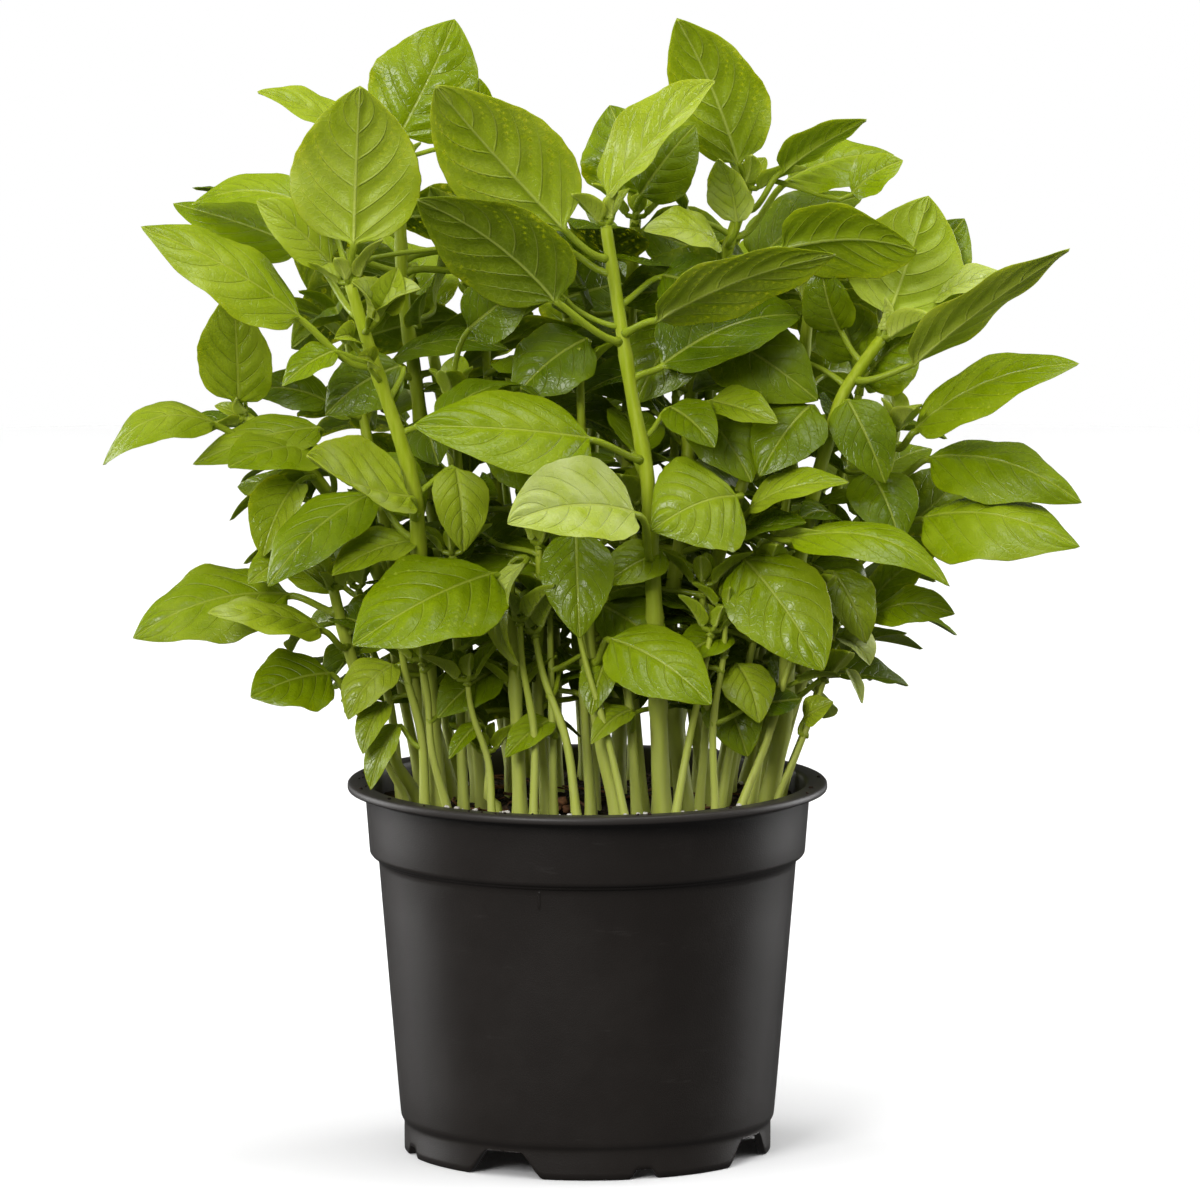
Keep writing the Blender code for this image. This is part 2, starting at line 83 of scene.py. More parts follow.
# A frame leaf: where its rings lie along the stalk and the blade, how many rings it has and points
# in each, the widest ring, and how far the upper side and the tip lie off the middle line.
STALK_STATIONS = (-0.02, 0.0, 0.35, 0.7, 1.0)
BLADE_STATIONS = (0.0, 0.07, 0.2, 0.36, 0.54, 0.72, 0.88)
LEAF_RINGS, LEAF_RING_POINTS, WIDEST_RING = 10, 9, 6
UPPER_RISE, TIP_DROP = 0.000275, 0.0003
STEM_RING_POINTS = 8

# A leaf as it is drawn: the powers of its outline, its stalk and its thickness, in metres.
OUTLINE = (0.52, 0.88)
STALK_RADIUS = 0.00095
LEAF_THICKNESS = 0.00034

# How thick a tall stem is next to its solid in the frame, which also holds its ridges.
SLIM = 0.92

# Side veins leave the midrib at this pitch along the blade and lean towards its tip.
VEIN_PITCH = 0.17
VEIN_LEAN = 0.18
VEIN_BEND = 1.3
VEIN_START = 0.01

# Pot, in millimetres and degrees. A notch has its depth, then its widths at its top and its bottom.
RIM_RADIUS_MM = 65.0
FLOOR_LOW_MM, FLOOR_TOP_MM = 6.8, 8.2
FEET = 8
FIRST_NOTCH = 18.0
NOTCHES = ((2.6, 4.4, 9.8), (6.75, 11.0, 27.0))
DRAIN_HOLES, DRAIN_REACH_MM, DRAIN_RADIUS_MM = 8, 37.0, 2.7

# Seeds of the random draws
SOIL_SEED, LEAVES_SEED = 11, 5

# Soft square lights: name, place, aim, size and power.
PLANT_MIDDLE = (0.0, 0.0, 0.17)
LIGHTS = [
    ("ceiling", (0.0, -0.3, 2.6), (0.0, -0.3, 0.0), 6.0, 150.0),
    ("top", (0.3, -0.2, 1.5), PLANT_MIDDLE, 0.7, 5.0),
    ("key", (-0.9, -1.8, 1.1), PLANT_MIDDLE, 0.8, 28.0),
    ("left_edge", (-1.6, 0.75, 0.4), PLANT_MIDDLE, 1.2, 22.0),
    ("right_edge", (1.6, 0.85, 0.4), PLANT_MIDDLE, 1.2, 22.0),
]
VIEW_MIDDLE = (0.0034, 0.0, 0.150)

# Thin stems: where each starts in the soil, where its head is, and its radius.
THIN_STEMS = [
    ((-48, -20), (-59, -27, 122), 1.1), ((-43, -31), (-50, -34, 146), 1.4),
    ((-37, -37), (-44, -40, 139), 1.2), ((-33, -29), (-36, -29, 166), 1.5),
    ((-25, -43), (-32, -43, 134), 1.1), ((-24, -31), (-27, -33, 113), 1.2),
    ((-19, -30), (-19, -34, 131), 0.9), ((-14, -46), (-18, -42, 150), 1.2),
    ((-11, -25), (-13, -24, 168), 1.6), ((-9, -37), (-10, -33, 152), 1.2),
    ((-2, -48), (-14, -37, 146), 1.3), ((1, -29), (0, -25, 172), 1.5),
    ((11, -49), (-3, -38, 150), 1.1), ((14, -37), (3, -27, 168), 1.4),
    ((15, -24), (12, -20, 178), 1.6), ((23, -43), (33, -35, 146), 1.2),
    ((30, -31), (31, -26, 157), 1.3), ((34, -38), (37, -33, 152), 1.1),
    ((35, -24), (48, -18, 158), 1.3), ((40, -34), (56, -25, 142), 1.2),
    ((43, -27), (60, -18, 152), 1.3), ((50, -22), (64, -20, 132), 1.0),
    ((-50, 2), (-62, 6, 152), 1.3), ((-45, 22), (-58, 32, 168), 1.5),
    ((-30, 40), (-38, 52, 158), 1.4), ((-8, 20), (-14, 24, 196), 1.7),
    ((12, 40), (16, 58, 164), 1.3), ((36, 36), (48, 48, 162), 1.4),
    ((50, 18), (66, 28, 158), 1.4), ((20, 10), (24, 14, 206), 1.7),
    ((-10, 2), (-16, 2, 202), 1.7), ((52, 2), (68, -2, 146), 1.2),
    ((-28, -8), (-36, -12, 206), 1.7), ((-20, 12), (-28, 16, 226), 1.8),
    ((2, -14), (-2, -14, 214), 1.7), ((0, 34), (-6, 44, 232), 1.8),
    ((30, 14), (34, 26, 236), 1.8), ((36, -4), (56, -6, 190), 1.6),
    ((-40, 0), (-66, 14, 226), 1.8), ((48, 8), (74, 16, 206), 1.7),
    ((-34, 26), (-62, 40, 196), 1.6), ((24, 44), (36, 66, 196), 1.6),
    ((-16, 46), (-24, 68, 190), 1.6), ((42, 30), (68, 44, 190), 1.6),
]

# Smaller leaves: the blade's base and tip, its width, the way that its upper side faces, how far
# it bows, how far its margins lift, and its tone from -1, dark, to 1, pale. The tone is the leaf's
# own green, with painted shade in the dark tones of the leaves deep in the crown.
SMALL_LEAVES = [
    ((-72, -26, 259), (-106, -16, 259), 15, (0, -0.5, 0.86), 5, 0.1, 0.2),
    ((-68, -32, 245), (-88, -34, 262), 17, (0.2, -0.7, 0.6), 2, 0.1, 0.5),
    ((-67, -42, 223), (-81, -48, 214), 11, (-0.3, -0.7, 0.6), 2, 0.1, 0.1),
    ((-30, 8, 276), (-29, 6, 291), 9, (0.4, -0.8, 0.3), 1, 0.2, 0.2),
    ((-34, -14, 252), (-42, -18, 264), 11, (-0.3, -0.8, 0.4), -2, 0.6, 0.9),
    ((-56, -50, 233), (-44, -56, 241), 12, (-0.3, -0.5, 0.8), 2, 0.5, 0.8),
    ((-57, -50, 233), (-62, -58, 243), 11, (0.4, -0.6, 0.6), 2, 0.5, 0.8),
    ((-54, -50, 234), (-50, -52, 246), 10, (0, -0.9, 0.3), 1, 0.6, 0.7),
    ((-62, -44, 226), (-67, -50, 227), 7, (0.2, -0.8, 0.5), 2, 0.6, 0.7),
    ((-57, -44, 219), (-61, -50, 222), 6, (0.2, -0.8, 0.5), 2, 0.6, 0.7),
    ((14, -2, 260), (29, 0, 279), 21, (0, -0.7, 0.7), 3, -0.1, -0.6),
    ((40, -6, 253), (35, -13, 271), 14, (-0.5, -0.85, 0.2), -2, 0.2, 1.0),
    ((35, -12, 249), (15, -24, 253), 17, (0.1, -0.6, 0.8), 3, 0.1, 0.9),
    ((71, 4, 260), (85, 4, 269), 15, (-0.3, -0.6, 0.7), 2, 0.1, 0.0),
    ((85, 10, 226), (102, 16, 252), 27, (-0.4, -0.85, 0.3), 3, -0.1, -0.5),
    ((93, 4, 231), (113, -2, 238), 12, (-0.2, -0.5, 0.85), 2, 0.2, 0.9),
    ((68, 2, 223), (63, 0, 241), 15, (-0.4, -0.85, 0.3), 2, 0.2, -0.4),
    ((74, 4, 209), (90, 6, 223), 24, (-0.2, -0.75, 0.6), 3, -0.1, -0.4),
    ((72, 8, 214), (66, 12, 230), 20, (0.2, -0.8, 0.5), 3, 0.1, -0.7),
    ((66, -14, 160), (75, -20, 141), 15, (0.3, -0.85, 0.4), 3, 0.0, 0.1),
    ((68, -16, 142), (76, -20, 135), 9, (0.2, -0.7, 0.7), 3, 0.6, 0.8),
    ((70, -18, 134), (74, -22, 125), 4, (0.6, -0.7, 0.2), 1, 0.3, 1.0),
    ((58, -21, 121), (66, -25, 126), 9, (0, -0.8, 0.6), 1, 0.1, 0.6),
    ((-35, -30, 190), (-33, -37, 168), 16, (0.3, -0.9, 0.3), 3, 0.0, 0.4),
    ((-17, -47, 167), (-18, -51, 139), 15, (-0.9, -0.45, 0.1), 7, 0.2, 0.9),
    ((43, -24, 178), (70, -30, 186), 15, (0, -0.45, 0.9), 4, 0.1, 0.3),
    ((50, -26, 170), (79, -34, 166), 11, (0, 0.6, 0.8), 2, 0.1, 0.8),
    ((60, -6, 161), (76, -8, 145), 20, (0.2, -0.7, 0.7), 3, -0.1, -0.6),
    ((4, -30, 153), (22, -38, 141), 17, (0.1, -0.8, 0.6), 3, -0.1, -0.4),
    ((38, -28, 145), (23, -38, 138), 13, (-0.2, -0.7, 0.7), 2, 0.1, 0.0),
    ((40, -28, 137), (46, -38, 122), 15, (0.2, -0.8, 0.5), 3, -0.2, 0.5),
    ((36, -24, 129), (43, -32, 112), 17, (0.1, -0.8, 0.5), 3, 0.1, -0.3),
    ((-46, -34, 171), (-68, -46, 163), 14, (-0.1, -0.6, 0.8), 2, 0.1, 0.3),
    ((-72, -6, 198), (-106, -16, 189), 19, (0, -0.5, 0.86), 4, -0.1, 0.3),
    ((-70, 8, 203), (-92, 8, 206), 16, (0, -0.6, 0.8), 3, 0.0, -0.7),
    ((-78, -14, 184), (-87, -24, 165), 15, (-0.3, -0.8, 0.4), 3, 0.5, 0.4),
    ((-78, -18, 165), (-91, -26, 158), 12, (-0.1, -0.7, 0.7), 2, 0.1, 0.1),
    ((-52, -30, 137), (-64, -38, 123), 15, (-0.3, -0.7, 0.6), 3, 0.1, 0.5),
    ((-54, -32, 127), (-60, -40, 114), 9, (-0.3, -0.8, 0.5), 2, 0.2, 0.2),
    ((-51, -32, 121), (-58, -38, 104), 9, (-0.5, -0.8, 0.2), 2, 0.2, 0.4),
    ((-24, -32, 136), (-40, -42, 124), 15, (-0.1, -0.8, 0.6), 2, 0.0, -0.4),
    ((-29, -36, 122), (-37, -42, 113), 6, (-0.2, -0.7, 0.7), 1, 0.1, -0.3),
    ((-10, -36, 123), (-22, -46, 114), 10, (-0.1, -0.7, 0.7), 2, 0.1, 0.2),
    ((12, -38, 126), (1, -48, 118), 8, (-0.1, -0.7, 0.7), 2, 0.1, 0.3),
    ((6, -34, 141), (1, -44, 125), 11, (-0.2, -0.8, 0.5), 2, 0.1, 0.0),
    ((0, -14, 223), (-20, -22, 207), 23, (-0.2, -0.8, 0.6), 3, -0.1, -0.8),
    ((26, -10, 226), (13, -20, 206), 24, (-0.2, -0.8, 0.5), 3, -0.1, -0.7),
    ((34, -6, 224), (62, -14, 206), 26, (0.1, -0.8, 0.6), 4, -0.1, -0.7),
    ((60, -14, 205), (46, -26, 187), 21, (-0.1, -0.8, 0.6), 3, -0.1, -0.7),
    ((30, -12, 203), (44, -24, 185), 19, (0.1, -0.8, 0.6), 3, -0.1, -0.6),
    ((70, -10, 206), (80, -18, 184), 18, (0.2, -0.85, 0.4), 3, -0.1, -0.5),
    ((76, -6, 186), (84, -20, 168), 20, (0.2, -0.8, 0.5), 3, -0.1, -0.5),
    ((-50, -26, 217), (-70, -30, 204), 20, (-0.1, -0.8, 0.6), 3, -0.1, -0.7),
    ((22, -26, 206), (34, -36, 196), 14, (0.1, -0.7, 0.7), 2, 0.1, -0.5),
    ((33, -20, 207), (51, -30, 202), 13, (0, -0.6, 0.8), 2, 0.2, 0.2),
    ((-22, -30, 200), (-8, -40, 182), 22, (0.1, -0.8, 0.6), 3, -0.1, -0.7),
    ((-58, -24, 192), (-44, -32, 176), 18, (0.2, -0.8, 0.6), 2, 0.0, -0.4),
    ((-52, -14, 150), (-66, -16, 138), 18, (-0.1, -0.8, 0.6), 3, -0.1, -0.6),
    ((20, -34, 168), (4, -44, 160), 15, (0, -0.7, 0.7), 2, 0.0, -0.2),
    ((-32, -20, 226), (-14, -26, 240), 18, (0.2, -0.8, 0.5), 2, 0.1, -0.6),
    ((20, -14, 240), (38, -20, 232), 20, (0.1, -0.8, 0.6), 3, 0.0, -0.7),
]

# The stem whose head carries each tuft of young leaves, and how long its leaves are.
TUFTS = [
    ("stem_left_tall", 13), ("stem_centre_tall", 13), ("stem_right_tall", 15),
    ("stem_right_outer", 15), ("stem_back_left_tall", 14), ("stem_back_right_tall", 15),
    ("stem_back_centre", 13), ("stem_right_leaning", 13), ("stem_left_leaning", 11),
    ("stem_back_left", 14), ("stem_back_right", 14), ("stem_back_outer", 14),
    ("stem_right_inner", 12), ("stem_left_low", 10),
]

# Tones of the frame's own leaves that differ from the rest: partly their own green, partly painted
# shade on the dark leaves deep in the crown and painted light on the pale top-centre leaves.
LEAF_TONES_LIGHT_AND_SHADE = {
    "leaf_front_pale": 1.0, "leaf_left_cupped": 0.6, "leaf_top_centre": 0.6,
    "leaf_upright_left": 0.4, "leaf_high_centre": 0.45, "leaf_spear_right": 0.4,
    "leaf_high_left": 0.3, "leaf_mid_right": 0.15, "leaf_spear_left": 0.2,
    "leaf_low_left_front": 0.2, "leaf_low_left": 0.1, "leaf_round_right": 0.1,
    "leaf_front_low": -0.15, "leaf_front_bumpy": -0.1, "leaf_front_large": -0.2,
    "leaf_middle_far_right": -0.2, "leaf_low_far_right": -0.1, "leaf_left_hanging": -0.35,
    "leaf_centre_hanging": -0.4, "leaf_mid_left": -0.15, "leaf_left_back": -0.1,
    "leaf_back_round": -0.35, "leaf_centre_dark": -0.65, "leaf_low_left_hanging": -0.1,
}

# How high the swellings between the side veins are on the bumpiest leaf, next to its half width.
LEAF_PUCKERS = {"leaf_front_bumpy": 0.085}

# How far some of the frame's own leaves roll about their middle line, in radians, and how far they
# move forward and down to stay clear of the leaves behind, in millimetres.
LEAF_ROLLS = {"leaf_front_pale": (0.36, 2.6), "leaf_left_cupped": (0.2, 0.0)}


# Arrays and meshes


def unit(vectors):
    """The vectors scaled to length 1."""
    return vectors / np.linalg.norm(vectors, axis=-1, keepdims=True)


def ease(share):
    """A smooth step: 0 below 0, 1 above 1, and 3s^2 - 2s^3 between."""
    share = np.clip(share, 0.0, 1.0)
    return share * share * (3 - 2 * share)


def value_noise(points, cell, seed):
    """Smooth noise from -1 to 1: a hashed value at each corner of a cubic lattice, blended by an
    ease."""
    scaled = points / cell
    low = np.floor(scaled).astype(np.int64)
    share = ease(scaled - low)
    total = np.zeros(points.shape[:-1])
    for corner in itertools.product((0, 1), repeat=3):
        key = ((low + corner) * (73856093, 19349663, 83492791)).sum(-1) ^ (seed * 2654435761)
        key = (key ^ (key >> 13)) * 1274126177 & 0x7FFFFFFF
        weight = np.where(corner, share, 1 - share).prod(-1)
        total += weight * ((key ^ (key >> 16)) % 65536 / 32767.5 - 1)
    return total


def round_axis(reach, angle, height=0.0):
    """Points at these distances and angles round the pot's axis, at a height."""
    return np.stack(np.broadcast_arrays(reach * np.cos(angle), reach * np.sin(angle), height), -1)


def loft(rings, start, end):
    """A closed skin over rows of ring points: quads between rows, and a fan to each end point."""
    rows, columns = rings.shape[:2]
    row, column = np.meshgrid(np.arange(rows - 1), np.arange(columns), indexing="ij")
    a = 1 + row * columns + column
    b = 1 + row * columns + (column + 1) % columns
    quads = np.stack([a, b, b + columns, a + columns], -1).reshape(-1, 4)
    ring = np.arange(columns)
    after = (ring + 1) % columns
    last = 1 + (rows - 1) * columns
    tip = np.full(columns, 1 + rows * columns)
    fans = np.concatenate([
        np.stack([np.zeros_like(ring), 1 + after, 1 + ring], -1),
        np.stack([tip, last + ring, last + after], -1),
    ])
    points = np.concatenate([[start], rings.reshape(-1, 3), [end]])
    return points, quads, fans


class Skin:
    """Points, faces and point vectors gathered for one piece."""

    def __init__(self):
        self.points, self.quads, self.fans, self.values, self.count = [], [], [], {}, 0

    def add(self, points, quads, fans, **values):
        """Adds one closed surface, with its vectors at each point."""
        self.points.append(points)
        self.quads.append(quads + self.count)
        self.fans.append(fans + self.count)
        for name, value in values.items():
            self.values.setdefault(name, []).append(value)
        self.count += len(points)
        return self

    def gather(self, surfaces):
        """Adds closed surfaces that have no vectors."""
        for surface in surfaces:
            self.add(*surface)

    def joined(self):
        """All the surfaces as one."""
        return [np.concatenate(rows) for rows in (self.points, self.quads, self.fans)]

    def build(self, name, finish, slot, *nodes):
        """Makes the piece with its finish, and has it ride the frame in place of these nodes."""
        mesh = bpy.data.meshes.new(name)
        points, quads, fans = self.joined()
        mesh.vertices.add(len(points))
        mesh.vertices.foreach_set("co", points.ravel())
        corners = np.concatenate([quads.ravel(), fans.ravel()])
        sizes = np.repeat([4, 3], [len(quads), len(fans)])
        mesh.loops.add(len(corners))
        mesh.loops.foreach_set("vertex_index", corners.astype(np.int32))
        mesh.polygons.add(len(sizes))
        mesh.polygons.foreach_set("loop_start", (np.cumsum(sizes) - sizes).astype(np.int32))
        mesh.polygons.foreach_set("use_smooth", np.ones(len(sizes), bool))
        mesh.update(calc_edges=True)
        for key, rows in self.values.items():
            made = mesh.attributes.new(key, "FLOAT_VECTOR", "POINT")
            made.data.foreach_set("vector", np.concatenate(rows).astype(np.float32).ravel())
        if mesh.validate():
            raise RuntimeError(f"{name} had faces that don't hold")
        piece = bpy.data.objects.new(name, mesh)
        bpy.context.scene.collection.objects.link(piece)
        mesh.materials.append(finish)
        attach(piece, BODY)
        if nodes:
            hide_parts(*nodes)
        return piece


def carried(points, side):
    """The way, the side and the normal at each point of a path, turning as little as they can."""
    ways = unit(np.gradient(points, axis=0))
    sides = np.empty_like(ways)
    for i, way in enumerate(ways):
        side = unit(side - way * (side @ way))
        sides[i] = side
    return ways, sides, np.cross(sides, ways)


def tube(points, radii, steps, side=(1.0, 0.1, 0.0), ridge=0.0):
    """A round bar along a path: at each point a circle across the way, with four soft ridges."""
    ways, sides, normals = carried(points, np.array(side))
    angles = np.pi - np.arange(steps) * 2 * np.pi / steps
    reach = radii[:, None] * (1 + ridge * np.cos(4 * angles))
    wheel = np.cos(angles)[None, :, None], np.sin(angles)[None, :, None]
    rings = points[:, None] + reach[..., None] * (
        wheel[0] * sides[:, None] + wheel[1] * normals[:, None]
    )
    start = points[0] - ways[0] * radii[0] * 0.4
    end = points[-1] + ways[-1] * radii[-1] * 0.6
    return loft(rings, start, end)


def through(points, spacing):
    """Points this far apart on a smooth curve through the given ones: Catmull-Rom on each span."""
    ends = np.concatenate([[2 * points[0] - points[1]], points, [2 * points[-1] - points[-2]]])
    found = []
    for a, b, c, d in zip(ends, ends[1:], ends[2:], ends[3:]):
        t = np.arange(0, 1, 1 / max(1, round(np.linalg.norm(c - b) / spacing)))[:, None]
        square, cube = 2 * a - 5 * b + 4 * c - d, 3 * b - a - 3 * c + d
        found.append(0.5 * (2 * b + (c - a) * t + square * t**2 + cube * t**3))
    return np.concatenate([*found, points[-1:]])


# Reading the frame


def nodes_of(kind):
    """The names of the frame's nodes that start with this kind, in order."""
    return [name for name in sorted(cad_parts) if name.startswith(kind)]


def merged(node):
    """A frame node's points, once each, and its triangles as rows of their places."""
    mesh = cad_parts[node].data
    mesh.calc_loop_triangles()
    points = np.empty(len(mesh.vertices) * 3, np.float32)
    mesh.vertices.foreach_get("co", points)
    corners = np.empty(len(mesh.loop_triangles) * 3, np.int32)
    mesh.loop_triangles.foreach_get("vertices", corners)
    points = points.reshape(-1, 3).astype(float)
    keys = np.round(points / 1e-6).astype(np.int64)
    _, first, place = np.unique(keys, axis=0, return_index=True, return_inverse=True)
    return points[first], place.reshape(-1)[corners].reshape(-1, 3)


@dataclass
class Line:
    """A stem's middle line, with its radius at each point."""

    points: np.ndarray
    radii: np.ndarray

    def at(self, height):
        """The point, radius and way at a height."""
        heights = self.points[:, 2]
        place = np.array([np.interp(height, heights, self.points[:, i]) for i in range(3)])
        i = int(np.clip(np.searchsorted(heights, height), 1, len(heights) - 1))
        way = unit(self.points[i] - self.points[i - 1])
        return place, float(np.interp(height, heights, self.radii)), way


def stem_line(node):
    """A frame stem's line: its points lie in rings of eight, one above the other."""
    points, _ = merged(node)
    rings = points[np.argsort(points[:, 2])].reshape(-1, STEM_RING_POINTS, 3)
    middles = rings.mean(1)
    radii = np.linalg.norm(rings - middles[:, None], axis=2).mean(1)
    smooth = through(middles, 0.0028)
    return Line(smooth, np.interp(smooth[:, 2], middles[:, 2], radii))


@dataclass
class Blade:
    """A leaf's layout: the stalk's cubic and the blade's quartic as rows of coefficients, the ways
    across and up from it, its greatest half width, and how far its margins lift."""

    stalk: np.ndarray
    middle: np.ndarray
    side: np.ndarray
    normal: np.ndarray
    half: float
    cup: float


def fitted(stations, points, degree):
    """The polynomial through these points by least squares, as rows of coefficients."""
    return np.linalg.lstsq(np.vander(stations, degree + 1), points, rcond=None)[0]


def frame_blade(node):
    """The layout of a frame leaf. Its points lie in ten rings of nine between two end points: three
    rings round the stalk, then seven across the blade with three points above and four below."""
    points, faces = merged(node)
    joined = np.zeros((len(points), len(points)), bool)
    for a, b in ((0, 1), (1, 2), (2, 0)):
        joined[faces[:, a], faces[:, b]] = joined[faces[:, b], faces[:, a]] = True
    ends = np.flatnonzero(joined.sum(1) == LEAF_RING_POINTS)
    levels = []
    reached = np.zeros(len(points), bool)
    reached[ends[0]] = True
    while not reached.all():
        level = joined[reached].any(0) & ~reached
        levels.append(points[level])
        reached |= level
    rings = levels[:-1]
    if [len(ring) for ring in rings] != [LEAF_RING_POINTS] * LEAF_RINGS or len(ends) != 2:
        raise RuntimeError(f"{node} isn't laid out in ten rings of nine")
    start, tip = points[ends[0]], levels[-1][0]
    spread = [np.linalg.norm(ring[:, None] - ring[None], axis=2).max() for ring in rings]
    if spread[1] > spread[-2]:
        rings, start, tip = rings[::-1], tip, start

    wide = rings[WIDEST_RING]
    gaps = np.linalg.norm(wide[:, None] - wide[None], axis=2)
    first, second = np.unravel_index(gaps.argmax(), gaps.shape)
    side = unit(wide[second] - wide[first])
    half = gaps.max() / 2
    margins = (wide[first] + wide[second]) / 2
    order = np.abs((wide - margins) @ side).argsort()
    normal = unit(wide[order[0]] - wide[order[1:3]].mean(0))
    if np.cross(normal, side) @ (tip - rings[3].mean(0)) < 0:
        side = -side
    cup = ((margins - wide[order[0]]) @ normal + UPPER_RISE) / half
    middles = [ring[np.abs((ring - ring.mean(0)) @ side).argmin()] for ring in rings[3:]]
    stalk = fitted(STALK_STATIONS, np.array([start, *(ring.mean(0) for ring in rings[:4])]), 3)
    middle = fitted((*BLADE_STATIONS, 1.0), np.array([*middles, tip + normal * TIP_DROP]), 4)
    return Blade(stalk, middle, side, normal, half, cup)


# Leaves


def outline(along, powers=OUTLINE):
    """A blade's half width as a share of its greatest: a power of the way from its base times a
    power of the way to its tip."""
    base, tip = powers
    widest = base / (base + tip)
    return (along / widest) ** base * ((1 - along) / (1 - widest)) ** tip


def vein_place(along, across):
    """Which side vein a point is at: whole numbers lie on veins, which leave the midrib at an even
    pitch and bend towards the tip on their way to the margin."""
    reach = np.abs(across)
    return (along - VEIN_START - VEIN_LEAN * reach * (1 + VEIN_BEND * reach)) / VEIN_PITCH


@dataclass
class Habit:
    """How one leaf differs from the plain form."""

    tone: float = 0.0
    pucker: float = 0.05
    ripple: float = 0.05
    twist: float = 0.0
    sway: float = 0.0
    phase: float = 0.0


def habit_of(random, tone, scale=1.0):
    """A leaf's own differences, drawn from the seeded generator."""
    return Habit(
        tone=float(np.clip(tone + random.normal(0, 0.12), -1, 1)),
        pucker=random.uniform(0.045, 0.095) * scale,
        ripple=random.uniform(0.03, 0.10) * scale,
        twist=random.normal(0, 0.12) * scale,
        sway=random.normal(0, 0.02) * scale,
        phase=random.uniform(0, 2 * math.pi),
    )


def capped(rings, first, last):
    """Rows of point vectors in the order of a loft, with one more for each end point."""
    return np.concatenate([[first], rings.reshape(-1, 3), [last]])


